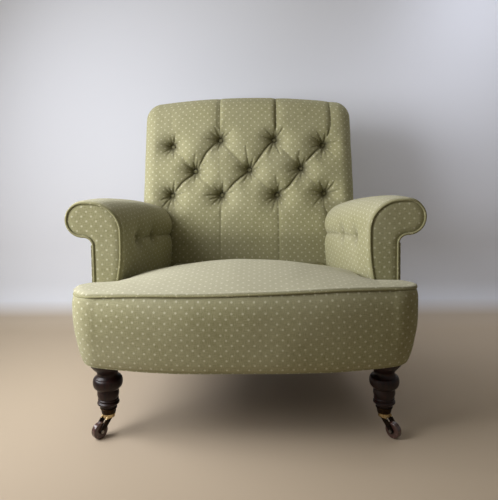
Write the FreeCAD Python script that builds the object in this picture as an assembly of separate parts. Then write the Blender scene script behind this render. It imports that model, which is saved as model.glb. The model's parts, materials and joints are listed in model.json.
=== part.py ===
import FreeCAD, Part
import math
import os

# Button back armchair, millimetres. X runs to the right when looking at the front, Y to the back
# and Z up. The origin is under the middle of the chair, on the floor.

# Overall sizes
chair_depth = 810.0
chair_height = 832.0
arm_span = 895.0
back_inset = 34.5

# Cloth and clearances
cover_thickness = 3.0
soft_gap = 0.3
tuck_in_gap = 3.0
running_clearance = 0.1
overrun = 10.0

# Heights of the body
body_bottom = 177.0
rail_bottom = 185.0
rail_top = 265.0
tuck_top = 235.0
piping_height = 345.0
piping_radius = 4.0
facing_piping_radius = 3.5

# Seat border
border_front_tuck = 16.0
border_roll = 23.0
body_side_tuck = 25.0
border_bow_radius = 1500.0
border_corner_radius = 95.0
border_pad = 45.0
piping_seat_step = 4.0
# height share, front tuck share, front roll share, side tuck share
border_shares = [
    (0.0, 1.0, 0.0, 1.0),
    (0.055, 0.56, 0.0, 0.68),
    (0.17, 0.25, 0.0, 0.32),
    (0.345, 0.08, 0.0, 0.04),
    (0.68, 0.0, 0.0, 0.0),
    (0.88, 0.0, 0.35, 0.0),
    (1.0, 0.0, 1.0, 0.0),
]

# Seat dome
seat_tuck_in = 20.0
seat_crown_rise = 44.0
seat_join_step = 5.0
seat_edge_reach = 18.5
# depth share, then the rise share at the middle, at the arm's inner face and past the border's side
seat_dome_shares = [
    (-0.04, -0.48, -0.68, -0.85),
    (0.04, 0.0, -0.25, -0.39),
    (0.11, 0.39, 0.07, -0.05),
    (0.18, 0.68, 0.16, 0.0),
    (0.27, 0.91, 0.09, 0.0),
    (0.36, 1.0, -0.1, -0.02),
    (0.54, 0.91, -0.4, -0.6),
    (0.71, 0.5, -0.7, -0.9),
    (0.89, -0.14, -1.02, -1.25),
    (1.07, -0.91, -1.3, -1.5),
]

# Arms
facing_setback = 200.0
facing_thickness = 6.0
arm_top_height = 539.0
arm_top_drop = 42.0
arm_rear_room = 70.0
arm_level_length = 146.0
arm_taper_room = 210.0
scroll_radius = 47.0
scroll_taper = 5.0
neck_radius = 19.0
arm_front_width = 75.5
arm_back_overlap = 102.0
facing_swell = 7.0
arm_base_gap = 2.0
arm_shoulder_radius = 72.0
arm_crown_radius = 220.0
arm_pad = 38.0
arm_tuft_drop = 110.0
arm_tuft_depth = 16.0
arm_crease_depth = 4.0
arm_pleat_depth = 8.0
# share of the arm's length
arm_tuft_shares = [61 / 270, 56 / 135]

# Back
back_face_inset = 230.0
back_face_height = 400.0
back_lean = 16.8
back_rake = 12.0
back_bottom = 285.0
back_top_roll = 45.0
back_rear_roll = 4.0
back_crown = 24.0
back_crown_radius = 2200.0
back_edge_radius = 40.0
back_panel_corner = 48.0
back_panel_margin = 7.0

# Tufts of the back
tuft_depth = 30.0
pleat_depth = 12.0
groove_depth = 10.0
edge_fade_depth = 4.0
flat_crown = 0.5
tuft_flat = 21.0
upper_row_height = 674.0
middle_row_height = 588.0
lower_row_height = 505.0
outer_tuft_inset = 93.0
tuft_pitch = 164.0
middle_tuft_step = 80.0
fade_inset = 47.0
puff_share = 0.93
edge_puff_share = 0.25

# Covered buttons
button_radius = 9.5
button_height = 6.0
button_edge = 2.0

# Frame
rail_thickness = 32.0
rail_inset = 29.0
leg_axis_inset = 60.5
leg_axis_setback = 103.0
leg_block_half = 24.0
leg_block_chamfer = 8.0
corner_block_leg = 60.0
corner_block_height = 45.0
dowel_radius = 5.0
dowel_length = 50.0
dowel_spread = 22.0
post_width = 36.0
post_depth = 34.0
rear_foot_depth = 29.0
rear_leg_rake = 17.0
arm_post_width = 38.0
arm_post_depth = 40.0
arm_rail_width = 50.0
arm_rail_thickness = 30.0
arm_rail_drop = 54.0
stuffing_rail_height = 35.0
stuffing_rail_bottom = 330.0
top_rail_height = 50.0
top_rail_drop = 62.0

# Seat webbing, springs and hessian
web_width = 50.0
web_thickness = 1.5
web_pitch_x = 115.0
web_pitch_y = 95.0
spring_wire = 2.2
spring_end_radius = 42.0
spring_waist_radius = 26.0
spring_turns = 4
spring_pitch_x = 150.0
spring_pitch_y = 145.0
spring_first_setback = 168.0
hessian_thickness = 1.5
hessian_top = 302.0
hessian_shoulder = 34.0
bottom_cloth_thickness = 1.2
tack_radius = 4.0
tack_head = 1.5
tack_pitch = 70.0

# Castors
wheel_radius = 18.5
wheel_width = 14.0
wheel_hub_width = 15.6
wheel_hub_radius = 6.5
wheel_edge_radius = 3.0
castor_trail = 26.0
castor_rest_angle = 50.0
rear_castor_rest_angle = 62.0
axle_radius = 2.4
cheek_thickness = 3.0
cheek_gap = 0.4
horn_disc_radius = 14.0
horn_disc_bottom = 43.0
horn_disc_top = 49.5
horn_pin_radius = 4.5
horn_pin_top = 72.0
axle_boss_radius = 6.0
cup_bottom = 50.0
cup_floor = 3.5
cup_top = 66.0
cup_bottom_radius = 15.5
cup_top_radius = 18.5
cup_wall = 1.4
cup_socket_radius = 7.5
cup_socket_top = 74.0

# Turned front leg: height above the floor and radius
leg_top_height = 177.0
leg_turning = [
    (66.5, 17.0), (70.0, 18.4), (74.5, 24.6), (77.0, 25.7), (79.5, 24.6), (82.0, 21.6),
    (85.0, 24.0), (88.0, 22.6), (98.0, 25.4), (107.0, 24.0), (111.5, 26.0), (114.5, 31.0),
    (120.0, 33.6), (127.0, 34.0), (134.0, 33.4), (139.5, 30.0), (143.5, 24.0), (147.0, 23.4),
    (153.0, 25.0), (160.0, 30.0), (166.0, 35.0), (170.0, 36.0), (177.0, 36.0),
]

front_y = -chair_depth / 2
body_half = arm_span / 2 - scroll_radius - neck_radius
back_half = body_half - back_inset
seat_depth = chair_depth - back_face_inset - seat_tuck_in
inner_half_width_front = body_half - arm_front_width
inner_half_width_rear = back_half - arm_back_overlap
leg_axis_x = body_half - leg_axis_inset
facing_y = front_y + facing_setback
arm_front_y = facing_y + facing_thickness
arm_length = chair_depth - facing_setback - arm_rear_room
arm_drop_length = arm_length - arm_level_length
arm_inner_run = arm_length - arm_taper_room
arm_tuft_setbacks = [arm_length * share for share in arm_tuft_shares]
inner_start_y = arm_front_y + facing_swell * 3
arm_base = rail_top + arm_base_gap
outer_tuft_x = back_half - outer_tuft_inset
inner_tuft_x = outer_tuft_x - tuft_pitch
middle_tuft_x = outer_tuft_x - middle_tuft_step
fade_x = back_half - fade_inset
spring_reach = spring_end_radius + spring_wire * 3
spring_rows = 1 + int((seat_depth - spring_first_setback) / spring_pitch_y)
spring_columns = int((inner_half_width_front - spring_reach) / spring_pitch_x)
outer_half_rear = back_half + cover_thickness + soft_gap
rear_base_y = (chair_depth / 2 - piping_radius + cover_thickness / 2
               - (chair_height - back_panel_margin - body_bottom) * math.tan(math.radians(back_rake)))


def vec(x, y, z):
    return FreeCAD.Vector(x, y, z)


def line(start, end):
    return Part.LineSegment(start, end).toShape()


def arc(start, middle, end):
    return Part.Arc(start, middle, end).toShape()


def bulged(start, end, bulge):
    # an arc whose middle stands off its chord by the vector bulge
    return arc(start, (start + end) * 0.5 + bulge, end)


def box(low, high):
    size = high - low
    return Part.makeBox(size.x, size.y, size.z, low)


def upright_prism(points, bottom, top):
    corners = [vec(x, y, bottom) for x, y in points]
    face = Part.Face(Part.makePolygon(corners + corners[:1]))
    return face.extrude(vec(0, 0, top - bottom))


def side_prism(points, left, right):
    # points are (y, z), drawn on a plane across the chair
    corners = [vec(left, y, z) for y, z in points]
    face = Part.Face(Part.makePolygon(corners + corners[:1]))
    return face.extrude(vec(right - left, 0, 0))


def ruled(wires):
    return Part.makeLoft(wires, True, True)


def mirrored(shape):
    return shape.mirror(vec(0, 0, 0), vec(1, 0, 0))


def largest(shape):
    return max(shape.Solids, key=lambda solid: solid.Volume)


def cut_all(shape, tools):
    for tool in tools:
        shape = shape.cut(tool)
    return shape


def rod(start, end, radius):
    return Part.makeCylinder(radius, (end - start).Length, start, end - start)


def sweep_round(path, radius):
    wire = Part.Wire(path)
    first = wire.OrderedEdges[0]
    begin = wire.OrderedVertexes[0].Point
    parameter = first.FirstParameter
    if first.valueAt(parameter).distanceToPoint(begin) > radius * 0.001:
        parameter = first.LastParameter
    ring = Part.makeCircle(radius, begin, first.tangentAt(parameter))
    return wire.makePipeShell([Part.Wire([ring])], True, False)


def save(name, shapes):
    shapes = shapes if isinstance(shapes, list) else [shapes]
    solids = [solid for shape in shapes for solid in shape.Solids]
    shape = solids[0] if len(solids) == 1 else Part.makeCompound(solids)
    shape.exportStep("parts/" + name + ".step")


# Lines of the body that the pieces share

def outer_x(y):
    # half width of the body beside the arms, from the facing to the back
    share = (y - arm_front_y) / (arm_length - facing_thickness)
    return body_half + (outer_half_rear - body_half) * share


def inner_x(y):
    # half width between the arms, which narrows until it meets the back
    taper = (inner_half_width_front - inner_half_width_rear) / arm_inner_run
    return max(inner_half_width_rear, inner_half_width_front - (y - inner_start_y) * taper)


def arm_share(y):
    return max(0.0, (y - arm_front_y) / arm_drop_length)


def arm_top(y):
    return arm_top_height - arm_top_drop * arm_share(y) ** 1.6


def arm_scroll_radius(y):
    return scroll_radius - scroll_taper * arm_share(y)


def neck_height(y):
    return arm_top(y) - 2 * arm_scroll_radius(y) - neck_radius


def face_y(z):
    # the line that the puffs of the back just reach
    lean = math.tan(math.radians(back_lean))
    return chair_depth / 2 - back_face_inset + (z - back_face_height) * lean


def rear_y(z):
    return rear_base_y + (z - body_bottom) * math.tan(math.radians(back_rake))


def behind_back(offset):
    # everything behind the outside back, brought forward by offset
    low = body_bottom - overrun
    high = chair_height + overrun
    far = chair_depth
    points = [
        (rear_y(low) - body_side_tuck - offset, low),
        (rear_y(body_bottom) - body_side_tuck - offset, body_bottom),
        (rear_y(body_bottom) - body_side_tuck / 2 - offset, (body_bottom * 2 + tuck_top) / 3),
        (rear_y(tuck_top) - offset, tuck_top),
        (rear_y(high) - offset, high),
        (far, high),
        (far, low),
    ]
    return side_prism(points, -arm_span, arm_span)


def back_envelope(gap):
    # the room that the back takes, with its puffs but not its pleats
    points = [
        (face_y(rail_top) - gap, rail_top),
        (face_y(chair_height) - gap, chair_height),
        (chair_depth, chair_height),
        (chair_depth, rail_top),
    ]
    return side_prism(points, -back_half - gap, back_half + gap)


# Seat border, seat outline and dome

def bow(half, bow_radius, corner):
    # A bow of bow_radius meets two straight sides, half away from its middle, through round
    # corners. Gives places across and drops from the top of the bow: where bow and corner touch,
    # the middle of the corner, and the drop at which the straight side starts.
    reach = bow_radius - corner
    corner_x = half - corner
    corner_drop = bow_radius - math.sqrt(reach ** 2 - corner_x ** 2)
    scale = bow_radius / reach
    touch_x = corner_x * scale
    touch_drop = bow_radius + (corner_drop - bow_radius) * scale
    angle = math.atan2(corner_drop - touch_drop, touch_x - corner_x) / 2
    middle_x = corner_x + corner * math.cos(angle)
    middle_drop = corner_drop - corner * math.sin(angle)
    return touch_x, touch_drop, middle_x, middle_drop, corner_drop


def bow_edges(half, bow_radius, corner, at):
    # the left corner, the bow and the right corner; at(x, drop) puts a point in space
    touch_x, touch_drop, middle_x, middle_drop, corner_drop = bow(half, bow_radius, corner)
    return [
        arc(at(-half, corner_drop), at(-middle_x, middle_drop), at(-touch_x, touch_drop)),
        arc(at(-touch_x, touch_drop), at(0, 0), at(touch_x, touch_drop)),
        arc(at(touch_x, touch_drop), at(middle_x, middle_drop), at(half, corner_drop)),
    ], corner_drop


def bow_wire(half, front, corner, rear, height):
    # bowed front, two round corners, straight sides and a straight rear line
    edges, drop = bow_edges(half, border_bow_radius, corner, lambda x, d: vec(x, front + d, height))
    right_front, left_front = vec(half, front + drop, height), vec(-half, front + drop, height)
    right_rear, left_rear = vec(half, rear, height), vec(-half, rear, height)
    return Part.Wire(edges + [line(right_front, right_rear), line(right_rear, left_rear),
                              line(left_rear, left_front)])


def bow_prism(inset, bottom, top, rear, roll=border_roll):
    wire = bow_wire(body_half - inset, front_y + roll + inset,
                    border_corner_radius - inset, rear, bottom)
    return Part.Face(wire).extrude(vec(0, 0, top - bottom))


def border_form(inset, rear, grow):
    top = piping_height - piping_seat_step
    wires = []
    for height_share, tuck_share, roll_share, side_share in border_shares:
        height = body_bottom + (top - body_bottom) * height_share
        if height_share == 0.0:
            height -= grow
        if height_share == 1.0:
            height += grow
        front = front_y + border_front_tuck * tuck_share + border_roll * roll_share + inset
        half = body_half - body_side_tuck * side_share - inset
        wires.append(bow_wire(half, front, border_corner_radius - inset, rear, height))
    return ruled(wires)


def seat_dome(lowered):
    wires = []
    bottom = body_bottom
    for depth_share, middle_share, join_share, edge_share in seat_dome_shares:
        y = front_y + seat_depth * depth_share
        top = piping_height - lowered
        edge = vec(body_half + seat_edge_reach, y, top + seat_crown_rise * edge_share)
        join = vec(inner_half_width_front + seat_join_step, y, top + seat_crown_rise * join_share)
        crown = vec(0, y, top + seat_crown_rise * middle_share)
        left_edge = vec(-edge.x, y, edge.z)
        left_join = vec(-join.x, y, join.z)
        low_right = vec(edge.x, y, bottom)
        low_left = vec(-edge.x, y, bottom)
        wires.append(Part.Wire([
            line(left_edge, left_join), arc(left_join, crown, join), line(join, edge),
            line(edge, low_right), line(low_right, low_left), line(low_left, left_edge),
        ]))
    return ruled(wires)


def between_arms(inset, bottom, top, front):
    rear = front_y + seat_depth * seat_dome_shares[-1][0]
    bend = inner_start_y + arm_inner_run
    right = [(inner_x(y) - tuck_in_gap - inset, y) for y in (front, bend, rear)]
    left = [(-x, y) for x, y in reversed(right)]
    return upright_prism(right + left, bottom, top)


def seat_cover_form(inset, grow):
    top = chair_height
    tee_rear = facing_y - soft_gap - inset
    front = bow_prism(inset, piping_height - piping_seat_step - grow, top, tee_rear)
    rear = between_arms(inset, arm_base - grow, top, facing_y - overrun)
    behind = between_arms(inset, arm_base - grow, top, facing_y - soft_gap - grow)
    room = front.fuse(behind) if grow == 0 else front.fuse(rear)
    return room.common(seat_dome(inset)).cut(back_envelope(soft_gap))


def seat_stuffing_form(hessian_room):
    step = piping_height - piping_seat_step
    tee_rear = facing_y - soft_gap - cover_thickness
    upper = bow_prism(cover_thickness, step, chair_height, tee_rear)
    lower = bow_prism(cover_thickness + border_pad, arm_base, step, tee_rear)
    rear = between_arms(cover_thickness, arm_base, chair_height, facing_y - border_pad)
    room = upper.fuse(lower).fuse(rear)
    room = room.common(seat_dome(cover_thickness)).cut(back_envelope(soft_gap))
    return largest(room.cut(hessian_room))


def seat_piping():
    rear = facing_y - soft_gap
    front = front_y + border_roll
    height = piping_height - piping_seat_step / 2
    edges, drop = bow_edges(body_half, border_bow_radius, border_corner_radius,
                            lambda x, d: vec(x, front + d, height))
    left_side = line(vec(-body_half, rear, height), vec(-body_half, front + drop, height))
    right_side = line(vec(body_half, front + drop, height), vec(body_half, rear, height))
    return sweep_round([left_side] + edges + [right_side], piping_radius)


# Arms, drawn for the right hand side of the front view

def arm_wire(y, place_y, inset, grow, tuft_depth_here):
    top = arm_top(y) - inset
    radius = arm_scroll_radius(y) - inset
    swell = facing_swell if y < arm_front_y + facing_swell else 0.0
    inner = inner_x(y) + swell + inset
    outer = outer_x(y) - inset
    centre_x = outer_x(y) + neck_radius
    centre_z = top - radius
    tuft_z = arm_top(y) - arm_tuft_drop
    base = arm_base - grow
    bottom = body_bottom - grow
    strip = outer - body_side_tuck - cover_thickness - grow
    diagonal = math.sqrt(0.5)
    puff = flat_crown + tuft_depth_here * 0.4
    crown = arm_crown_radius - inset
    touch_x, touch_drop, middle_x, middle_drop, side_drop = bow(
        centre_x - inner, crown, arm_shoulder_radius - inset)
    crest_angle = math.asin(touch_x / crown) / 2
    crest_drop = crown * (1 - math.cos(crest_angle))

    def at(x, z):
        return vec(x, place_y, z)

    foot = at(inner, base)
    tuft_low = at(inner + tuft_depth_here, tuft_z - tuft_flat / 2)
    tuft_high = at(inner + tuft_depth_here, tuft_z + tuft_flat / 2)
    side_end = at(inner, top - side_drop)
    shoulder_middle = at(centre_x - middle_x, top - middle_drop)
    shoulder_end = at(centre_x - touch_x, top - touch_drop)
    crest_middle = at(centre_x - crown * math.sin(crest_angle), top - crest_drop)
    crest = at(centre_x, top)
    scroll_upper = at(centre_x + radius * diagonal, centre_z + radius * diagonal)
    scroll_side = at(centre_x + radius, centre_z)
    scroll_lower = at(centre_x + radius * diagonal, centre_z - radius * diagonal)
    scroll_under = at(centre_x, centre_z - radius)
    hook = centre_x - outer
    neck = at(outer, centre_z - radius - hook)
    neck_middle = at(outer + hook * (1 - diagonal), centre_z - radius - hook * (1 - diagonal))
    tuck_start = at(outer, tuck_top)
    tuck_end = at(outer - body_side_tuck, bottom)
    tuck_middle = at(outer - body_side_tuck * 0.32, body_bottom + (tuck_top - body_bottom) * 0.3)
    strip_low = at(strip, bottom)
    strip_high = at(strip, base)
    return Part.Wire([
        bulged(foot, tuft_low, vec(-puff, 0, 0)),
        bulged(tuft_low, tuft_high, vec(-flat_crown, 0, 0)),
        bulged(tuft_high, side_end, vec(-puff, 0, 0)),
        arc(side_end, shoulder_middle, shoulder_end),
        arc(shoulder_end, crest_middle, crest),
        arc(crest, scroll_upper, scroll_side),
        arc(scroll_side, scroll_lower, scroll_under),
        arc(scroll_under, neck_middle, neck),
        line(neck, tuck_start),
        arc(tuck_start, tuck_middle, tuck_end),
        line(tuck_end, strip_low),
        line(strip_low, strip_high),
        line(strip_high, foot),
    ])


def arm_stations():
    # setback behind the arm's front and the depth of the tuft or pleat there
    first, second = arm_tuft_setbacks
    half = tuft_flat / 2
    return [
        (0.0, 0.0),
        (facing_swell * 3, 0.0),
        (first - half, arm_tuft_depth),
        (first + half, arm_tuft_depth),
        ((first + second) / 2, arm_crease_depth),
        (second - half, arm_tuft_depth),
        (second + half, arm_tuft_depth),
        (second + (first + half) / 2, arm_pleat_depth),
        (arm_drop_length, arm_pleat_depth),
        (arm_length, arm_crease_depth),
    ]


def arm_form(inset, grow):
    stations = arm_stations()
    wires = []
    for number, (setback, depth) in enumerate(stations):
        y = arm_front_y + setback
        place_y = y
        if number == 0:
            place_y -= grow
        if number == len(stations) - 1:
            place_y += grow
        wires.append(arm_wire(y, place_y, inset, grow, depth))
    return ruled(wires)


def neck_block(drop, left):
    # all that lies under the neck line of the scroll
    ys = [arm_front_y + setback for setback, _ in arm_stations()]
    line_points = [(y, neck_height(y) - drop) for y in ys]
    line_points[0] = (ys[0] - overrun, line_points[0][1])
    line_points[-1] = (ys[-1] + overrun, line_points[-1][1])
    low = body_bottom - overrun
    points = [(line_points[0][0], low)] + line_points + [(line_points[-1][0], low)]
    return side_prism(points, left, arm_span)


def arm_hollow():
    front = arm_front_y - overrun
    rear = arm_front_y + arm_length + overrun
    points = [
        (inner_x(front) + arm_pad, front), (arm_span, front),
        (arm_span, rear), (inner_x(rear) + arm_pad, rear),
    ]
    side = upright_prism(points, body_bottom - overrun, arm_top_height)
    return side.common(neck_block(neck_radius / 2, -arm_span))


def arm_pieces(post, rail, piping):
    outer = arm_form(0.0, 0.0).cut(behind_back(cover_thickness))
    tool = arm_form(cover_thickness, overrun).cut(behind_back(cover_thickness * 2))
    wall = largest(outer.cut(tool).cut(back_envelope(soft_gap)).cut(piping))
    under_neck = neck_block(0.0, inner_half_width_front + arm_pad / 2)
    cover = largest(wall.cut(under_neck))
    panel = largest(wall.common(under_neck))
    filling = tool.common(arm_room())
    filling = filling.cut(arm_hollow()).cut(back_envelope(soft_gap)).cut(piping)
    filling = largest(cut_all(filling, [post, rail]))
    return cover, panel, filling


def arm_room():
    # behind the facing and above the rails
    low = vec(0, arm_front_y, arm_base)
    return box(low, vec(arm_span, chair_depth, chair_height))


def arm_facing():
    wire = arm_wire(arm_front_y, arm_front_y, 0.0, 0.0, 0.0)
    return Part.Face(wire).extrude(vec(0, -facing_thickness, 0))


def facing_piping():
    # follows the rim of the facing, inside it by its own radius, from the seat to the seat
    inset = facing_piping_radius
    edges = arm_wire(arm_front_y, facing_y, inset, 0.0, 0.0).OrderedEdges[3:8]
    foot_z = piping_height + piping_radius
    points = [edge.valueAt(edge.FirstParameter) for edge in edges]
    points += [edge.valueAt(edge.LastParameter) for edge in edges]
    inner = min(points, key=lambda point: point.x)
    neck = min(points, key=lambda point: point.z)
    path = [line(vec(inner.x, facing_y, foot_z), inner)] + edges
    path.append(line(neck, vec(neck.x, facing_y, foot_z)))
    return sweep_round(path, facing_piping_radius)


# Tufted back

def tuft_columns(places):
    return [x + side * tuft_flat / 2 for x in places for side in (-1, 1)]


outer_columns = tuft_columns([-outer_tuft_x, -inner_tuft_x, inner_tuft_x, outer_tuft_x])
middle_columns = [-fade_x] + tuft_columns([-middle_tuft_x, 0.0, middle_tuft_x]) + [fade_x]
between_columns = [(a + b) / 2 for a, b in zip(outer_columns, middle_columns)]


def back_section(z, columns, depths, wide, crown, edge_radius, front_in, side_in, rear_in, inset,
                 rear_shift):
    # one level of the back: a front chain with its valleys, two sides and a rear chain
    half = back_half - side_in - inset
    front = face_y(z) + front_in + inset
    rear_offset = rear_shift - cover_thickness - rear_in

    def height(x):
        return z - crown * (x / back_half) ** 2

    places = [(-half, front + edge_radius), (-half + edge_radius, front)]
    places += [(x, front + depth) for x, depth in zip(columns, depths)]
    places += [(half - edge_radius, front), (half, front + edge_radius)]
    points = [vec(x, y, height(x)) for x, y in places]
    count = len(points) - 1
    corner = edge_radius * (1 - math.sqrt(0.5))
    chain = []
    for number in range(count):
        start, end = points[number], points[number + 1]
        if number in (0, count - 1):
            side = -1 if number == 0 else 1
            middle = vec(side * (half - corner), front + corner, (start.z + end.z) / 2)
            chain.append(arc(start, middle, end))
        elif number in (1, count - 2):
            chain.append(bulged(start, end, vec(0, -max(depths[0] * edge_puff_share, flat_crown), 0)))
        else:
            is_puff = (number % 2 == 1) if wide == "odd" else (number % 2 == 0)
            rise = max(depths[number - 2], depths[number - 1]) * puff_share
            if wide == "all":
                is_puff = True
            chain.append(bulged(start, end, vec(0, -(rise if is_puff else flat_crown), 0)))
    behind = [vec(point.x, rear_y(point.z) + rear_offset, point.z) for point in points]
    rear_chain = [line(behind[number], behind[number - 1]) for number in range(count, 0, -1)]
    side_right = line(points[-1], behind[-1])
    side_left = line(behind[0], points[0])
    return chain, rear_chain, Part.Wire(chain + [side_right] + rear_chain + [side_left])


def back_form(inset, rear_shift, grow):
    half_flat = tuft_flat / 2
    deep = [tuft_depth] * 8
    deep_middle = [edge_fade_depth] + [tuft_depth] * 6 + [edge_fade_depth]
    pleats = [pleat_depth] * 8
    grooves = [groove_depth] * 8
    levels = [(back_bottom - grow, outer_columns, grooves, "odd", 0.0)]
    levels.append(((back_bottom + lower_row_height * 2) / 3, outer_columns, grooves, "odd", 0.0))
    for side in (-half_flat, half_flat):
        levels.append((lower_row_height + side, outer_columns, deep, "odd", 0.0))
    levels.append(((lower_row_height + middle_row_height) / 2, between_columns, pleats, "all", 0.0))
    for side in (-half_flat, half_flat):
        levels.append((middle_row_height + side, middle_columns, deep_middle, "even", 0.0))
    levels.append(((middle_row_height + upper_row_height) / 2, between_columns, pleats, "all", 0.0))
    for side in (-half_flat, half_flat):
        levels.append((upper_row_height + side, outer_columns, deep, "odd", 0.0))
    roll_start = chair_height - inset - back_top_roll
    levels.append(((upper_row_height + roll_start) / 2 + half_flat, outer_columns, grooves, "odd",
                   back_crown * 0.4))
    sections = [back_section(z, columns, depths, wide, crown, back_edge_radius, 0.0, 0.0, 0.0,
                             inset, rear_shift)
                for z, columns, depths, wide, crown in levels]
    for angle in (0, 30, 60, 84):
        turn = 1 - math.cos(math.radians(angle))
        z = roll_start + back_top_roll * math.sin(math.radians(angle))
        depths = [groove_depth * (1 - turn * 0.6)] * 8
        sections.append(back_section(
            z, outer_columns, depths, "odd", back_crown, back_edge_radius * (1 - turn * 0.5),
            back_top_roll * turn * 0.9, back_top_roll * turn * 0.9, back_rear_roll * turn,
            inset, rear_shift))
    skin = Part.makeLoft([section[2] for section in sections], False, True)
    front_chain, rear_chain, _ = sections[-1]
    lid = Part.makeRuledSurface(Part.Wire(front_chain), Part.Wire(rear_chain[::-1]))
    floor = Part.Face(sections[0][2])
    closed = Part.makeShell(skin.Faces + lid.Faces + [floor])
    closed.sewShape()
    solid = Part.Solid(closed)
    if solid.Volume < 0:
        solid.reverse()
    return solid


def back_button(x, z):
    lean = math.radians(back_lean)
    base = vec(x, face_y(z) + tuft_depth - flat_crown * 2, z)
    return covered_button(base, vec(0, -math.cos(lean), math.sin(lean)))


def covered_button(base, direction):
    # a shallow dome on a short straight edge
    rise = button_height - button_edge
    dome_radius = (button_radius ** 2 + rise ** 2) / (2 * rise)
    drum = Part.makeCylinder(button_radius, button_height, base, direction)
    centre = base + direction.normalize() * (button_height - dome_radius)
    return drum.common(Part.makeSphere(dome_radius, centre))


def back_buttons():
    places = [(x, z) for z in (upper_row_height, lower_row_height)
              for x in (-outer_tuft_x, -inner_tuft_x, inner_tuft_x, outer_tuft_x)]
    places += [(x, middle_row_height) for x in (-middle_tuft_x, 0.0, middle_tuft_x)]
    return [back_button(x, z) for x, z in places]


def arm_buttons():
    buttons = []
    for setback in arm_tuft_setbacks:
        y = arm_front_y + setback
        base = vec(inner_x(y) + arm_tuft_depth - flat_crown * 1.5, y, arm_top(y) - arm_tuft_drop)
        taper = (inner_half_width_front - inner_half_width_rear) / arm_inner_run
        button = covered_button(base, vec(-1, -taper, 0))
        buttons += [button, mirrored(button)]
    return buttons


def back_outline_edges(inset, at):
    # left corner, crowned top and right corner of the outside back; drops run down from its top
    return bow_edges(back_half - inset, back_crown_radius, back_panel_corner - inset, at)


def outside_back(piping):
    top = chair_height - back_panel_margin
    front, through = -chair_depth, chair_depth * 2
    half = back_half - cover_thickness
    edges, drop = back_outline_edges(cover_thickness, lambda x, d: vec(x, front, top - d))
    left, right = vec(-half, front, top - drop), vec(half, front, top - drop)
    low_left, low_right = vec(-half, front, body_bottom), vec(half, front, body_bottom)
    edges += [line(right, low_right), line(low_right, low_left), line(low_left, left)]
    tall = Part.Face(Part.Wire(edges)).extrude(vec(0, through, 0))
    slab = behind_back(cover_thickness).cut(behind_back(0.0))
    return largest(slab.common(tall).cut(piping))


def back_piping():
    # runs up one side, over the crowned top and down the other, on the plane of the outside back
    top = chair_height - back_panel_margin
    rake = math.radians(back_rake)

    def at(x, drop):
        z = top - drop * math.cos(rake)
        return vec(x, rear_y(top) - cover_thickness / 2 - drop * math.sin(rake), z)

    edges, corner_drop = back_outline_edges(0.0, at)
    foot_drop = (top - tuck_top) / math.cos(rake)
    left = line(at(-back_half, foot_drop), at(-back_half, corner_drop))
    right = line(at(back_half, corner_drop), at(back_half, foot_drop))
    return sweep_round([left] + edges + [right], piping_radius)


# Frame

def front_leg():
    points = [vec(0, 0, leg_turning[0][0])]
    points += [vec(radius, 0, height) for height, radius in leg_turning]
    points.append(vec(0, 0, leg_top_height))
    turned = Part.Face(Part.Wire([line(a, b) for a, b in zip(points, points[1:] + points[:1])]))
    turned = turned.revolve(vec(0, 0, 0), vec(0, 0, 1), 360)
    tip = Part.makeCylinder(cup_bottom_radius - cup_wall - running_clearance,
                            leg_turning[0][0] - cup_bottom - cup_floor, vec(0, 0, cup_bottom + cup_floor))
    half = leg_block_half
    cut = half - leg_block_chamfer
    block_points = [(-half, -cut), (-cut, -half), (cut, -half), (half, -cut),
                    (half, cut), (cut, half), (-cut, half), (-half, cut)]
    block = upright_prism(block_points, leg_top_height, rail_top)
    solid = turned.fuse(tip).fuse(block).cut(castor_socket())
    solid.translate(vec(leg_axis_x, front_y + leg_axis_setback, 0))
    return largest(solid)


def castor_socket():
    return Part.makeCylinder(cup_socket_radius + running_clearance, cup_socket_top + running_clearance)


def rear_leg_axis():
    rake = math.tan(math.radians(rear_leg_rake))
    x = outer_half_rear - rail_inset - post_width / 2
    top_y = rear_y(body_bottom) - body_side_tuck - cover_thickness - post_depth / 2
    return x, top_y + (body_bottom - cup_top) * rake


def back_post():
    x, foot_y = rear_leg_axis()
    room = cover_thickness * 2
    low_rear = rear_y(body_bottom) - body_side_tuck - cover_thickness
    top = chair_height - top_rail_drop / 2
    foot_half = rear_foot_depth / 2
    points = [
        (foot_y - foot_half, cup_top),
        (foot_y + foot_half, cup_top),
        (low_rear, body_bottom),
        (rear_y(tuck_top) - room, tuck_top),
        (rear_y(top) - room, top),
        (rear_y(top) - room - post_depth, top),
        (rear_y(tuck_top) - room - post_depth, tuck_top),
        (low_rear - post_depth, body_bottom),
    ]
    half = post_width / 2
    post = side_prism(points, x - half, x + half)
    tip = Part.makeCylinder(cup_bottom_radius - cup_wall - running_clearance,
                            cup_top - cup_bottom - cup_floor, vec(x, foot_y, cup_bottom + cup_floor))
    taper_length = body_bottom - cup_top
    inner_cut = side_wedge(x - half, foot_half, taper_length)
    outer_cut = side_wedge(x + half, -foot_half, taper_length)
    socket = castor_socket()
    socket.translate(vec(x, foot_y, 0))
    return largest(cut_all(post, [inner_cut, outer_cut]).fuse(tip).cut(socket))


def side_wedge(face_x, foot_half, length):
    # takes the side of the rear leg in towards its foot
    inward = (post_width / 2 - abs(foot_half)) * (1 if foot_half > 0 else -1)
    points = [
        vec(face_x, -chair_depth, cup_top + length),
        vec(face_x, -chair_depth, cup_top - overrun),
        vec(face_x + inward, -chair_depth, cup_top - overrun),
        vec(face_x + inward, -chair_depth, cup_top),
    ]
    return Part.Face(Part.makePolygon(points + points[:1])).extrude(vec(0, chair_depth * 3, 0))


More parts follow.
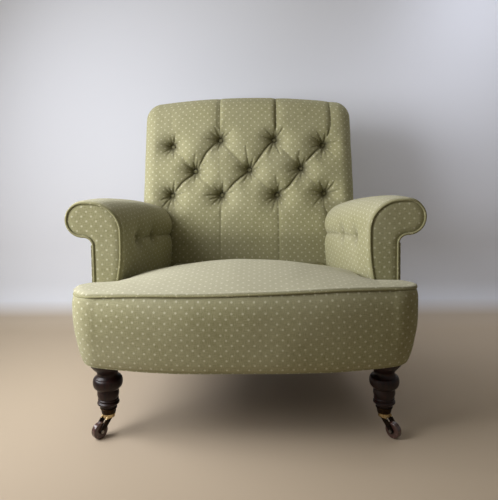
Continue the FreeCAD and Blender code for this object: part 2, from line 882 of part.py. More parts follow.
def front_rail():
    outer = bow_prism(rail_inset, rail_bottom, rail_top, facing_y, 0.0)
    inner = bow_prism(rail_inset + rail_thickness, rail_bottom - overrun,
                      rail_top + overrun, facing_y + overrun, 0.0)
    half = leg_axis_x - leg_block_half
    room = box(vec(-half, front_y, rail_bottom), vec(half, facing_y, rail_top))
    return largest(outer.cut(inner).common(room))


def side_rail():
    front = front_y + leg_axis_setback + leg_block_half
    x, _ = rear_leg_axis()
    rear = rear_y(rail_bottom) - body_side_tuck - cover_thickness - post_depth
    points = [
        (body_half - rail_inset - rail_thickness, front), (body_half - rail_inset, front),
        (x + post_width / 2, rear), (x + post_width / 2 - rail_thickness, rear),
    ]
    return upright_prism(points, rail_bottom, rail_top)


def back_rail(bottom, height):
    # a rail between the back posts that leans with them
    x, _ = rear_leg_axis()
    room = cover_thickness * 2
    top = bottom + height
    half = x - post_width / 2
    points = [
        (rear_y(bottom) - room, bottom), (rear_y(top) - room, top),
        (rear_y(top) - room - post_depth, top), (rear_y(bottom) - room - post_depth, bottom),
    ]
    return side_prism(points, -half, half)


def back_seat_rail():
    x, _ = rear_leg_axis()
    half = x - post_width / 2
    rear = rear_y(rail_bottom) - body_side_tuck - cover_thickness
    return box(vec(-half, rear - rail_thickness, rail_bottom), vec(half, rear, rail_top))


def arm_post():
    front = arm_front_y
    rear = front + arm_post_depth
    outer_rear = outer_x(rear) - cover_thickness - soft_gap
    points = [
        (outer_rear - arm_post_width, front), (outer_rear, front),
        (outer_rear, rear), (outer_rear - arm_post_width, rear),
    ]
    return upright_prism(points, rail_top, arm_top_height - arm_rail_drop - arm_rail_thickness / 2)


def arm_rail():
    x, _ = rear_leg_axis()
    rear_z = arm_top(arm_front_y + arm_length) - arm_rail_drop
    front_z = arm_top_height - arm_rail_drop
    rear = rear_y(rear_z - arm_rail_thickness / 2) - cover_thickness * 2 - post_depth
    front_outer = outer_x(arm_front_y) + neck_radius * 0.75

    def ring(y, outer, width, top):
        corners = [vec(outer - width, y, top - arm_rail_thickness), vec(outer, y, top - arm_rail_thickness),
                   vec(outer, y, top), vec(outer - width, y, top)]
        return Part.makePolygon(corners + corners[:1])

    rail = ruled([ring(arm_front_y, front_outer, arm_rail_width, front_z),
                  ring(rear + post_depth, x + post_width / 2, post_width, rear_z)])
    return rail.cut(behind_back(cover_thickness * 2 + post_depth))


def corner_block(x, y, toward_x, toward_y):
    points = [(x, y), (x + toward_x * corner_block_leg, y), (x, y + toward_y * corner_block_leg)]
    low = (rail_bottom + rail_top - corner_block_height) / 2
    return upright_prism(points, low, low + corner_block_height)


def corner_blocks():
    front_inner = leg_axis_x - leg_block_half
    front_edge = front_y + leg_axis_setback + leg_block_half
    x, _ = rear_leg_axis()
    rear_edge = rear_y(rail_bottom) - body_side_tuck - cover_thickness - rail_thickness
    blocks = [
        corner_block(front_inner, front_edge, -1, -1),
        corner_block(x - post_width / 2, rear_edge, -1, -1),
    ]
    return blocks + [mirrored(block) for block in blocks]


def frame_dowels():
    # pairs of pegs, one above the other, at the ends of the front, side and back rails
    x, _ = rear_leg_axis()
    half = dowel_length / 2
    front_x = leg_axis_x - leg_block_half
    front_mid = front_y + leg_axis_setback
    side_front = front_y + leg_axis_setback + leg_block_half
    rear = rear_y(rail_bottom) - body_side_tuck - cover_thickness
    side_rear = rear - post_depth
    pegs = []
    for height in ((rail_bottom + rail_top - dowel_spread) / 2, (rail_bottom + rail_top + dowel_spread) / 2):
        pegs.append(rod(vec(front_x - half, front_mid, height), vec(front_x + half * 0.8, front_mid, height),
                        dowel_radius))
        peg_x = leg_axis_x + dowel_radius
        pegs.append(rod(vec(peg_x, side_front - half * 0.7, height), vec(peg_x, side_front + half, height),
                        dowel_radius))
        pegs.append(rod(vec(x, side_rear - half, height), vec(x, side_rear + half * 0.8, height),
                        dowel_radius))
        back_x = x - post_width / 2
        middle = rear - rail_thickness / 2
        pegs.append(rod(vec(back_x - half, middle, height), vec(back_x + half * 0.8, middle, height),
                        dowel_radius))
    return pegs + [mirrored(peg) for peg in pegs]


# Seat suspension

def web_places(half):
    # middles of the strips that fit side by side within a half width
    count = int((half - web_width / 2) / web_pitch_x)
    return [number * web_pitch_x for number in range(-count, count + 1)]


def seat_webbing():
    half = inner_x(facing_y) + rail_thickness / 2
    front = front_y + leg_axis_setback
    rear = rear_y(rail_bottom) - body_side_tuck - rail_thickness / 2
    upper = rail_bottom
    lower = upper - web_thickness
    strips = []
    for number in range(int((rear - front) / web_pitch_y)):
        y = front + (number + 0.8) * web_pitch_y
        strips.append(box(vec(-half, y - web_width / 2, lower), vec(half, y + web_width / 2, upper)))
    for x in web_places(leg_axis_x - leg_block_half):
        strips.append(box(vec(x - web_width / 2, front - rail_thickness, lower - web_thickness),
                          vec(x + web_width / 2, rear, lower)))
    return strips


def spring(x, y):
    # double cone of half turns, each one an arc on a tilted plane, level where two of them meet
    bottom = rail_bottom + spring_wire
    top = hessian_top - spring_wire - hessian_thickness
    halves = spring_turns * 2
    rise = (top - bottom) / halves
    edges = []
    for number in range(halves):
        side = 1 if number % 2 == 0 else -1
        start_share = abs(2 * number / halves - 1)
        end_share = abs(2 * (number + 1) / halves - 1)
        start_radius = spring_waist_radius + (spring_end_radius - spring_waist_radius) * start_share
        end_radius = spring_waist_radius + (spring_end_radius - spring_waist_radius) * end_share
        start = vec(x + side * start_radius, y, bottom + rise * number)
        end = vec(x - side * end_radius, y, bottom + rise * (number + 1))
        middle = vec((start.x + end.x) / 2, y + side * (start_radius + end_radius) / 2,
                     (start.z + end.z) / 2)
        edges.append(arc(start, middle, end))
    wire = Part.Wire(edges)
    ring = Part.makeCircle(spring_wire, edges[0].valueAt(edges[0].FirstParameter), vec(0, 1, 0))
    return wire.makePipeShell([Part.Wire([ring])], True, False)


def seat_springs():
    first = front_y + spring_first_setback
    rows = [first + number * spring_pitch_y for number in range(spring_rows)]
    columns = range(-spring_columns, spring_columns + 1)
    return [spring(column * spring_pitch_x, y) for y in rows for column in columns]


def hessian_room(shrink):
    # the space under the hessian, wide at the rails and narrow over the springs
    first = front_y + spring_first_setback
    last = first + spring_pitch_y * (spring_rows - 1)
    half = spring_pitch_x * spring_columns + spring_reach

    def ring(extra, z):
        low_y = first - spring_reach - extra * 0.5 + shrink
        high_y = last + spring_reach + extra * 0.5 - shrink
        x = half + extra - shrink
        corners = [vec(-x, low_y, z), vec(x, low_y, z), vec(x, high_y, z), vec(-x, high_y, z)]
        return Part.makePolygon(corners + corners[:1])

    return ruled([ring(hessian_shoulder, rail_top), ring(0.0, hessian_top - shrink)])


def seat_hessian():
    half = inner_x(facing_y)
    front = front_y + leg_axis_setback
    rear = rear_y(rail_bottom) - body_side_tuck - rail_thickness
    rear_half = inner_x(rear)
    points = [(-half, front), (half, front), (rear_half, rear), (-rear_half, rear)]
    flange = upright_prism(points, rail_top, rail_top + hessian_thickness)
    return largest(flange.fuse(hessian_room(0.0)).cut(hessian_room(hessian_thickness)))


def bottom_cloth():
    rear = rear_y(body_bottom) - body_side_tuck - cover_thickness
    side_front = front_y + leg_axis_setback + leg_block_half + body_side_tuck
    half_front = body_half - rail_inset - body_side_tuck / 5
    half_rear = rear_leg_axis()[0] - post_width / 2
    front = front_y + leg_axis_setback - rail_thickness
    points = [
        (-leg_axis_x + leg_block_half * 2, front), (leg_axis_x - leg_block_half * 2, front),
        (leg_axis_x - leg_block_half * 2, side_front), (half_front, side_front),
        (half_rear, rear - post_depth), (half_rear, rear), (-half_rear, rear),
        (-half_rear, rear - post_depth), (-half_front, side_front),
        (-leg_axis_x + leg_block_half * 2, side_front),
    ]
    top = rail_bottom - web_thickness * 2
    return upright_prism(points, top - bottom_cloth_thickness, top)


def cloth_tacks():
    top = rail_bottom - web_thickness * 2 - bottom_cloth_thickness
    rear = rear_y(body_bottom) - body_side_tuck - cover_thickness - rail_thickness / 3
    front = front_y + leg_axis_setback - rail_thickness * 0.6
    tacks = []
    count = int((leg_axis_x - leg_block_half * 2 - tack_radius) / tack_pitch)
    for number in range(-count, count + 1):
        for y in (front, rear):
            x = number * tack_pitch
            tacks.append(Part.makeCone(tack_radius * 0.6, tack_radius, tack_head, vec(x, y, top - tack_head)))
    return tacks


def back_webbing():
    # strips on the front face of the back frame
    x, _ = rear_leg_axis()
    low, high = stuffing_rail_bottom, chair_height - top_rail_drop
    strips = []
    for centre in web_places(x - post_width / 2):
        depth = cover_thickness * 2 + post_depth
        points = [
            (rear_y(low) - depth, low), (rear_y(high) - depth, high),
            (rear_y(high) - depth - web_thickness, high), (rear_y(low) - depth - web_thickness, low),
        ]
        strips.append(side_prism(points, centre - web_width / 2, centre + web_width / 2))
    return strips


# Castors, drawn on their own swivel axis with the wheel trailing towards +X

def castor_cup():
    outer = Part.makeCone(cup_bottom_radius, cup_top_radius, cup_top - cup_bottom, vec(0, 0, cup_bottom))
    room = Part.makeCone(cup_bottom_radius - cup_wall, cup_top_radius - cup_wall, cup_top - cup_bottom,
                         vec(0, 0, cup_bottom + cup_floor))
    bead = Part.makeTorus(cup_top_radius - cup_wall * 0.2, cup_wall, vec(0, 0, cup_top - cup_wall))
    room_above = Part.makeCylinder(cup_top_radius - cup_wall, cup_wall * 4, vec(0, 0, cup_top - cup_wall * 2))
    socket = Part.makeCylinder(cup_socket_radius, cup_socket_top - cup_bottom, vec(0, 0, cup_bottom))
    bore = Part.makeCylinder(horn_pin_radius + running_clearance, cup_socket_top - cup_bottom + overrun,
                             vec(0, 0, cup_bottom - overrun / 2))
    shell = outer.fuse(bead).cut(room_above).cut(room)
    return shell.fuse(socket).cut(bore)


def castor_horn():
    disc = Part.makeCylinder(horn_disc_radius, horn_disc_top - horn_disc_bottom, vec(0, 0, horn_disc_bottom))
    pin = Part.makeCylinder(horn_pin_radius, horn_pin_top - horn_disc_bottom, vec(0, 0, horn_disc_bottom))
    horn = disc.fuse(pin)
    inner = wheel_hub_width / 2 + cheek_gap
    shoulder = horn_disc_radius * 0.85
    for side in (-1, 1):
        face = side * inner if side > 0 else -inner - cheek_thickness
        points = [
            vec(-shoulder * 0.6, face, horn_disc_top - cheek_thickness / 2),
            vec(shoulder * 0.9, face, horn_disc_top - cheek_thickness / 2),
            vec(castor_trail + axle_boss_radius, face, wheel_radius + axle_boss_radius * 0.5),
            vec(castor_trail, face, wheel_radius - axle_boss_radius * 0.9),
            vec(castor_trail - axle_boss_radius, face, wheel_radius),
        ]
        cheek = Part.Face(Part.makePolygon(points + points[:1])).extrude(vec(0, cheek_thickness, 0))
        boss = Part.makeCylinder(axle_boss_radius, cheek_thickness, vec(castor_trail, face, wheel_radius),
                                 vec(0, 1, 0))
        horn = horn.fuse(cheek).fuse(boss)
    bore_start = vec(castor_trail, -inner - cheek_thickness * 2, wheel_radius)
    bore_end = vec(castor_trail, inner + cheek_thickness * 2, wheel_radius)
    return largest(horn.cut(rod(bore_start, bore_end, axle_radius)))


def castor_axle():
    half = wheel_hub_width / 2 + cheek_gap + cheek_thickness
    head = cheek_thickness / 2
    shank = rod(vec(castor_trail, -half, wheel_radius), vec(castor_trail, half, wheel_radius), axle_radius)
    for side in (-1, 1):
        start = vec(castor_trail, side * half, wheel_radius)
        end = vec(castor_trail, side * (half + head), wheel_radius)
        shank = shank.fuse(rod(start, end, axle_radius * 1.6))
    return shank


def castor_wheel():
    half, hub = wheel_width / 2, wheel_hub_width / 2
    tread = wheel_radius - wheel_edge_radius
    bore = axle_radius + running_clearance * 0.8
    turn = wheel_edge_radius * (1 - math.sqrt(0.5))

    def at(radius, across):
        return vec(castor_trail + radius, across, wheel_radius)

    edges = [
        line(at(bore, -hub), at(wheel_hub_radius, -hub)),
        line(at(wheel_hub_radius, -hub), at(wheel_hub_radius, -half)),
        line(at(wheel_hub_radius, -half), at(tread, -half)),
        arc(at(tread, -half), at(wheel_radius - turn, -half + turn),
            at(wheel_radius, -half + wheel_edge_radius)),
        line(at(wheel_radius, -half + wheel_edge_radius), at(wheel_radius, half - wheel_edge_radius)),
        arc(at(wheel_radius, half - wheel_edge_radius), at(wheel_radius - turn, half - turn),
            at(tread, half)),
        line(at(tread, half), at(wheel_hub_radius, half)),
        line(at(wheel_hub_radius, half), at(wheel_hub_radius, hub)),
        line(at(wheel_hub_radius, hub), at(bore, hub)),
        line(at(bore, hub), at(bore, -hub)),
    ]
    centre = vec(castor_trail, 0, wheel_radius)
    return Part.Face(Part.Wire(edges)).revolve(centre, vec(0, 1, 0), 360)


def place_castor(shape, x, y, angle):
    placed = shape.copy()
    placed.rotate(vec(0, 0, 0), vec(0, 0, 1), angle)
    placed.translate(vec(x, y, 0))
    return placed


def make_castors():
    rear_x, rear_leg_y = rear_leg_axis()
    front_leg_y = front_y + leg_axis_setback
    corners = [
        ("front_left", -leg_axis_x, front_leg_y, -180 + castor_rest_angle),
        ("front_right", leg_axis_x, front_leg_y, -castor_rest_angle),
        ("rear_left", -rear_x, rear_leg_y, 180 - rear_castor_rest_angle),
        ("rear_right", rear_x, rear_leg_y, rear_castor_rest_angle),
    ]
    pieces = [("castor_cup", castor_cup()), ("castor_horn", castor_horn()),
              ("castor_axle", castor_axle()), ("castor_wheel", castor_wheel())]
    for corner, x, y, angle in corners:
        for name, shape in pieces:
            save(name + "_" + corner, place_castor(shape, x, y, angle))


# Assembly

def make_frame():
    pegs = frame_dowels()
    holes = Part.makeCompound(pegs)
    leg = front_leg().cut(holes)
    rail = side_rail().cut(holes)
    post = back_post()
    piece = front_rail()
    arm_bar = largest(arm_rail())
    post = post.cut(holes)
    upright = arm_post().cut(arm_bar)
    blocks = corner_blocks()
    save("front_leg_right", leg)
    save("front_leg_left", mirrored(leg))
    save("side_rail_right", rail)
    save("side_rail_left", mirrored(rail))
    save("back_post_right", post)
    save("back_post_left", mirrored(post))
    save("front_rail", piece.cut(holes))
    save("back_seat_rail", back_seat_rail().cut(holes))
    save("back_top_rail", back_rail(chair_height - top_rail_drop - top_rail_height / 2, top_rail_height))
    save("back_stuffing_rail", back_rail(stuffing_rail_bottom, stuffing_rail_height))
    save("arm_post_right", upright)
    save("arm_post_left", mirrored(upright))
    save("arm_rail_right", arm_bar)
    save("arm_rail_left", mirrored(arm_bar))
    save("corner_blocks", [block.cut(piece).cut(holes) for block in blocks])
    save("frame_dowels", pegs)
    return leg, rail, piece, upright, arm_bar


def make_seat(leg, rail, rail_front):
    piping = seat_piping()
    rear = facing_y - soft_gap
    border = border_form(0.0, rear, 0.0).cut(border_form(cover_thickness, rear + overrun, overrun))
    legs = [leg, mirrored(leg)]
    border = largest(cut_all(border, [piping] + legs))
    pad = border_form(cover_thickness, rear, 0.0)
    core = bow_prism(cover_thickness + border_pad, body_bottom, chair_height, rear + overrun)
    frame_core = bow_prism(rail_inset, body_bottom - overrun, rail_top, rear + overrun, 0.0)
    core = core.fuse(frame_core)
    hessian = seat_hessian()
    pad = cut_all(pad.cut(core), [hessian, rail_front, rail, mirrored(rail), piping] + legs)
    cover = seat_cover_form(0.0, 0.0).cut(seat_cover_form(cover_thickness, overrun)).cut(piping)
    filling = seat_stuffing_form(hessian_room(0.0)).cut(piping)
    save("front_border", border)
    save("border_stuffing", largest(pad))
    save("seat_piping", piping)
    save("seat_cover", largest(cover))
    save("seat_stuffing", largest(filling))
    save("seat_webbing", seat_webbing())
    save("seat_springs", seat_springs())
    save("seat_hessian", hessian)
    save("bottom_cloth", bottom_cloth())
    save("cloth_tacks", cloth_tacks())


def make_arms(post, rail):
    piping = back_piping()
    edge = facing_piping()
    cover, panel, filling = arm_pieces(post, rail, piping)
    facing = largest(arm_facing().cut(edge))
    for name, shape in (("arm_cover", cover), ("outside_arm", panel), ("arm_stuffing", filling),
                        ("arm_facing", facing)):
        save(name + "_right", shape)
        save(name + "_left", mirrored(shape))
    save("facing_piping", [edge, mirrored(edge)])
    save("arm_buttons", arm_buttons())


def make_back(arm_bar):
    piping = back_piping()
    outer = back_form(0.0, 0.0, 0.0)
    cover = outer.cut(back_form(cover_thickness, overrun * 3, overrun))
    bars = [arm_bar, mirrored(arm_bar)]
    cover = largest(cut_all(cover, [piping] + bars))
    frame_room = cover_thickness + post_depth + web_thickness + soft_gap
    filling = back_form(cover_thickness, -frame_room, 0.0)
    filling = largest(cut_all(filling, bars))
    save("back_cover", cover)
    save("back_stuffing", filling)
    save("outside_back", outside_back(piping))
    save("back_piping", piping)
    save("back_buttons", back_buttons())
    save("back_webbing", back_webbing())


os.makedirs("parts", exist_ok=True)
front_leg_shape, side_rail_shape, front_rail_shape, arm_post_shape, arm_rail_shape = make_frame()
make_seat(front_leg_shape, side_rail_shape, front_rail_shape)
make_arms(arm_post_shape, arm_rail_shape)
make_back(arm_rail_shape)
make_castors()
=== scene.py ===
import bpy
import bmesh
import json
import math
import numpy as np
from mathutils import Matrix, Vector, noise


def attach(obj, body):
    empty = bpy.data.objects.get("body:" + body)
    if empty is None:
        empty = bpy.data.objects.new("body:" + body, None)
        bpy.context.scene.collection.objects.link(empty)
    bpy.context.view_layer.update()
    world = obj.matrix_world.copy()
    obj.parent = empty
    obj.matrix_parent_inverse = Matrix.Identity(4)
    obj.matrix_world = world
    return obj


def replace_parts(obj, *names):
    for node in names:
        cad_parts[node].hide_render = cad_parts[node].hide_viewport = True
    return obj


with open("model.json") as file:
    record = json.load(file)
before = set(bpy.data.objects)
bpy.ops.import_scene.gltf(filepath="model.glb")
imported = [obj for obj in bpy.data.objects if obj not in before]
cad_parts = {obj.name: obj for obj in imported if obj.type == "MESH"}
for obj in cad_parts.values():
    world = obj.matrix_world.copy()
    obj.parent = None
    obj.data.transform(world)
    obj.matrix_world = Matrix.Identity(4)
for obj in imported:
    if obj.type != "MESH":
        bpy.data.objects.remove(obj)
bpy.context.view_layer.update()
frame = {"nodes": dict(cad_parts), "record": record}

MM = 0.001
SIDES = ((-1, "left"), (1, "right"))


# ---------------------------------------------------------------- camera, nodes, floor and light

def show(name, data):
    """Puts a mesh, a lamp or a camera in the scene."""
    thing = bpy.data.objects.new(name, data)
    bpy.context.scene.collection.objects.link(thing)
    return thing


def set_camera():
    """Low camera in front of the chair and a little to its right."""
    yaw, pitch, roll = 0.02032, 0.06981, -0.01253
    place = (0.03925, -1.53178, 0.67692)
    ahead = Vector((-math.sin(yaw), math.cos(yaw), 0.0)) * math.cos(pitch)
    ahead.z = -math.sin(pitch)
    level = Vector((math.cos(yaw), math.sin(yaw), 0.0))
    down = ahead.cross(level)
    right = level * math.cos(roll) - down * math.sin(roll)
    up = -(level * math.sin(roll) + down * math.cos(roll))
    data = bpy.data.cameras.new("camera")
    data.lens = 39.24
    data.sensor_width = 36.0
    data.shift_y = -68.96 / 500.0
    camera = show("camera", data)
    camera.matrix_world = Matrix.Translation(place) @ Matrix((right, up, -ahead)).transposed().to_4x4()
    bpy.context.scene.camera = camera


def colour(code):
    """An sRGB hex colour as linear values."""
    parts = [int(code[start:start + 2], 16) / 255.0 for start in (1, 3, 5)]
    return tuple(p / 12.92 if p <= 0.04045 else ((p + 0.055) / 1.055) ** 2.4 for p in parts) + (1.0,)


def set_inputs(tree, node, inputs):
    """Gives a node its inputs: sockets to link, hex colours, or plain values."""
    for key, value in inputs.items():
        if isinstance(value, bpy.types.NodeSocket):
            tree.links.new(value, node.inputs[key])
        else:
            node.inputs[key].default_value = colour(value) if isinstance(value, str) else value


def add(tree, kind, inputs=None, output=0, **settings):
    """Adds one node with its settings and links, and gives one of its outputs."""
    node = tree.nodes.new("ShaderNode" + kind)
    for name, value in settings.items():
        setattr(node, name, value)
    set_inputs(tree, node, inputs or {})
    return node.outputs[output]


def lay_colours(tree, base, coats):
    """Colours laid over a base in turn. A coat is its colour, where it lies, and its strength."""
    for coat, where, strength in coats:
        share = add(tree, "Math", {0: where, 1: strength}, operation="MULTIPLY")
        base = add(tree, "Mix", {0: share, 6: base, 7: coat}, 2, data_type="RGBA")
    return base


def new_material(name):
    """A material without nodes yet, its tree, and the place on the piece that patterns read."""
    material = bpy.data.materials.new(name)
    material.use_nodes = True
    tree = material.node_tree
    tree.nodes.clear()
    return material, tree, add(tree, "TexCoord", output="Object")


def finish_material(material, inputs):
    """Ends a material with a surface that has these inputs."""
    tree = material.node_tree
    surface = add(tree, "BsdfPrincipled", inputs)
    set_inputs(tree, tree.nodes.new("ShaderNodeOutputMaterial"), {"Surface": surface})
    return material


def make_object(mesh, name, material):
    """Turns a finished bmesh into a smooth shaded object."""
    for face in mesh.faces:
        face.smooth = True
    data = bpy.data.meshes.new(name)
    mesh.to_mesh(data)
    mesh.free()
    data.materials.append(material)
    return show(name, data)


def matt_paint():
    """Matt wall paint above and pale sanded boards below, both plain. It is clear from behind, so
    that the chair shows from every side."""
    material, tree, place = new_material("pale matt paint")
    height = add(tree, "SeparateXYZ", {0: place}, "Z")
    share = add(tree, "MapRange", {0: height, 1: 0.0, 2: 60 * MM})
    paint = lay_colours(tree, "#bcac96", [("#e3e7f0", share, 1.0)])
    surface = add(tree, "BsdfPrincipled", {"Base Color": paint, "Roughness": 0.85})
    behind = add(tree, "NewGeometry", output="Backfacing")
    surface = add(tree, "MixShader", {0: behind, 1: surface, 2: add(tree, "BsdfTransparent")})
    set_inputs(tree, tree.nodes.new("ShaderNodeOutputMaterial"), {"Surface": surface})
    return material


def set_room():
    """A pale floor that turns up into a pale wall, and the same floor carried on behind the wall
    for the views from the back. Lengths are in metres."""
    paint = matt_paint()
    ahead, length, half_width, wall_y, cove = 5.0, 9.0, 6.0, 0.62, 0.10
    flat = ahead + wall_y - cove
    mesh = bmesh.new()
    bmesh.ops.create_grid(mesh, x_segments=1, y_segments=60, size=1.0)
    for vert in mesh.verts:
        along = (vert.co.y + 1.0) / 2.0 * length
        vert.co.x *= half_width
        if along < flat:
            vert.co.y, vert.co.z = along - ahead, 0.0
        else:
            turn = min((along - flat) / cove, math.pi / 2)
            rise = max(0.0, along - flat - cove * math.pi / 2)
            vert.co.y = wall_y - cove + cove * math.sin(turn)
            vert.co.z = cove * (1 - math.cos(turn)) + rise
    make_object(mesh, "room", paint)
    mesh = bmesh.new()
    bmesh.ops.create_grid(mesh, x_segments=1, y_segments=1, size=half_width)
    bmesh.ops.translate(mesh, vec=(0.0, 0.0, -1.0 * MM), verts=mesh.verts[:])
    make_object(mesh, "floor", paint)


def set_light():
    """Dim warm light all round, a window on the left, and soft lamps above and on the wall."""
    world = bpy.data.worlds.new("soft room")
    world.use_nodes = True
    tree = world.node_tree
    tree.nodes.clear()
    dim = add(tree, "Background", {"Color": "#f3e6cc", "Strength": 0.16})
    # What the camera and the polish see past the room is a plain pale grey.
    seen = add(tree, "Background", {"Color": "#a9abb0", "Strength": 1.0})
    rays = tree.nodes.new("ShaderNodeLightPath").outputs
    polish = add(tree, "Math", {0: rays["Is Glossy Ray"], 1: 0.4}, operation="MULTIPLY")
    share = rays["Is Camera Ray"]
    for other in (rays["Is Transmission Ray"], polish):
        share = add(tree, "Math", {0: share, 1: other}, operation="MAXIMUM")
    sky = add(tree, "MixShader", {0: share, 1: dim, 2: seen})
    set_inputs(tree, tree.nodes.new("ShaderNodeOutputWorld"), {"Surface": sky})
    bpy.context.scene.world = world
    lamps = [
        # name, place, point lit, size in metres, watts, spread in degrees, colour
        ("window", (-1.16, -0.64, 0.98), (0.05, 0.0, 0.44), 0.9, 16.0, 135.0, "#fbfbff"),
        ("window side", (-1.35, -0.08, 0.95), (0.33, -0.12, 0.42), 0.5, 2.2, 70.0, "#fbfbff"),
        ("ceiling", (-0.7, -0.75, 2.3), (0.0, 0.0, 0.3), 2.0, 6.6, 180.0, "#fff8ec"),
        ("wall", (0.95, 0.25, 1.70), (0.85, 0.62, 0.35), 0.5, 1.8, 80.0, "#f2f4ff"),
    ]
    for name, place, aim, size, power, spread, tint in lamps:
        data = bpy.data.lights.new(name, "AREA")
        data.shape = "SQUARE"
        data.size = size
        data.energy = power
        data.color = colour(tint)[:3]
        data.spread = math.radians(spread)
        lamp = show(name, data)
        lamp.location = place
        lamp.rotation_euler = (Vector(aim) - Vector(place)).to_track_quat("-Z", "Y").to_euler()


# ---------------------------------------------------------------- materials

def per_mm(size):
    """Scale of a pattern whose grain is so many millimetres."""
    return 1 / (size * MM)


def dotted_cotton():
    """Sage cotton with small cream spots woven in: matt, a little fuzzy at grazing light.
    The spots are 4 mm wide, 24 mm apart in a row, and each row sits half a step along."""
    step = 24
    material, tree, place = new_material("dotted cotton")
    cloth = add(tree, "UVMap", uv_map="weave")
    wander = add(tree, "TexNoise", {"Vector": cloth, "Scale": per_mm(9), "Detail": 1.0}, "Color")
    moved = add(tree, "VectorMath", {0: wander, 1: (0.7 * MM,) * 3, 2: cloth}, operation="MULTIPLY_ADD")
    spots = []
    for shift in (0.0, 0.5):
        cell = add(tree, "VectorMath", {0: moved, 1: (per_mm(step), per_mm(step), 0.0),
                                        2: (shift, shift, 0.0)}, operation="MULTIPLY_ADD")
        part = add(tree, "VectorMath", {0: cell}, operation="FRACTION")
        middle = add(tree, "VectorMath", {0: part, 1: (0.5, 0.5, 0.0)}, operation="SUBTRACT")
        spots.append(add(tree, "VectorMath", {0: middle}, "Value", operation="LENGTH"))
    nearest = add(tree, "Math", {0: spots[0], 1: spots[1]}, operation="MINIMUM")
    spot = add(tree, "MapRange", {0: nearest, 1: 3.3 / step, 2: 1.6 / step, 3: 0.0, 4: 1.0},
               interpolation_type="SMOOTHSTEP")
    # Slubs: cotton yarn varies over a few millimetres, drawn along both thread directions.
    slubs = []
    for scale in ((per_mm(14), per_mm(0.9), 1.0), (per_mm(0.9), per_mm(14), 1.0)):
        stretched = add(tree, "VectorMath", {0: cloth, 1: scale}, operation="MULTIPLY")
        slubs.append(add(tree, "TexNoise", {"Vector": stretched, "Scale": 1.0, "Detail": 2.0}, "Fac"))
    slub = add(tree, "Math", {0: slubs[0], 1: slubs[1]}, operation="ADD")
    slub = add(tree, "Math", {0: slub, 1: 0.5}, operation="MULTIPLY")
    shade = add(tree, "MapRange", {0: slub, 1: 0.36, 2: 0.64})
    patches = add(tree, "TexNoise", {"Vector": place, "Scale": per_mm(160), "Detail": 3.0}, "Fac")
    fade_and_top_light = add(tree, "MapRange", {0: patches, 1: 0.4, 2: 0.75, 3: 0.0, 4: 0.28})
    # Painted light: a paler tone where the cloth faces up, as if lit from above.
    rubbed_and_top_lit = add(tree, "Attribute", output="Fac", attribute_name="painted_top_light")
    # Painted shade: a dark brown laid where the folds, gathers, tufts and buttons are shaded.
    painted_shade = add(tree, "Attribute", output="Fac", attribute_name="painted_shade")
    # Yarn tones, random faded patches and cream spots, with the painted light from above in #b7b4a1 and the
    # painted shade in #3c361e.
    dye_and_painted_light = lay_colours(tree, "#7d7a54", [
        ("#a29f7c", shade, 1.0), ("#aeab90", fade_and_top_light, 1.0), ("#b7b4a1", rubbed_and_top_lit, 0.55),
        ("#d2cfb6", spot, 0.56), ("#3c361e", painted_shade, 0.62)])
    # Plain weave, threads about 0.6 mm apart, drawn at 1.3 mm so that it shows.
    ribs = [add(tree, "TexWave", {"Vector": cloth, "Scale": per_mm(1.3) / 2.0, "Distortion": 0.6,
                                  "Detail": 1.0}, "Fac", bands_direction=way) for way in ("X", "Y")]
    weave = add(tree, "Math", {0: ribs[0], 1: ribs[1]}, operation="MULTIPLY")
    relief = add(tree, "Math", {0: spot, 1: 1.2, 2: weave}, operation="MULTIPLY_ADD")
    relief = add(tree, "Math", {0: relief, 1: slub}, operation="ADD")
    bump = add(tree, "Bump", {"Height": relief, "Strength": 0.5, "Distance": 0.35 * MM})
    return finish_material(material, {
        "Base Color": dye_and_painted_light, "Normal": bump, "Roughness": 0.92, "Specular IOR Level": 0.22,
        "Sheen Weight": 0.22, "Sheen Roughness": 0.55, "Sheen Tint": "#efecd6"})


def piping_cotton():
    """The same cotton cut on the cross over a cord: a little darker, with a slanting thread."""
    material, tree, place = new_material("bias cut piping cotton")
    slant = add(tree, "TexWave", {"Vector": place, "Scale": per_mm(1.4) / 2.0, "Distortion": 1.5},
                "Fac", bands_direction="DIAGONAL")
    patches = add(tree, "TexNoise", {"Vector": place, "Scale": per_mm(7), "Detail": 2.0}, "Fac")
    spot = add(tree, "MapRange", {0: patches, 1: 0.62, 2: 0.7})
    return finish_material(material, {
        "Base Color": lay_colours(tree, "#75724f", [("#989572", slant, 1.0), ("#cbc6a4", spot, 0.6)]),
        "Normal": add(tree, "Bump", {"Height": slant, "Strength": 0.45, "Distance": 0.3 * MM}),
        "Roughness": 0.9, "Specular IOR Level": 0.22, "Sheen Weight": 0.2, "Sheen Tint": "#efecd6"})


def black_lining():
    """Black glazed cotton under the seat: thin, matt, with a faint weave."""
    material, tree, place = new_material("black lining cotton")
    weave = add(tree, "TexWave", {"Vector": place, "Scale": per_mm(1.6) / 2.0, "Distortion": 1.0},
                "Fac", bands_direction="DIAGONAL")
    dust = add(tree, "TexNoise", {"Vector": place, "Scale": per_mm(60), "Detail": 4.0}, "Fac")
    return finish_material(material, {
        "Base Color": lay_colours(tree, "#17161a", [("#2c2a2b", dust, 1.0), ("#3a3836", weave, 0.25)]),
        "Normal": add(tree, "Bump", {"Height": weave, "Strength": 0.4, "Distance": 0.2 * MM}),
        "Roughness": 0.8})


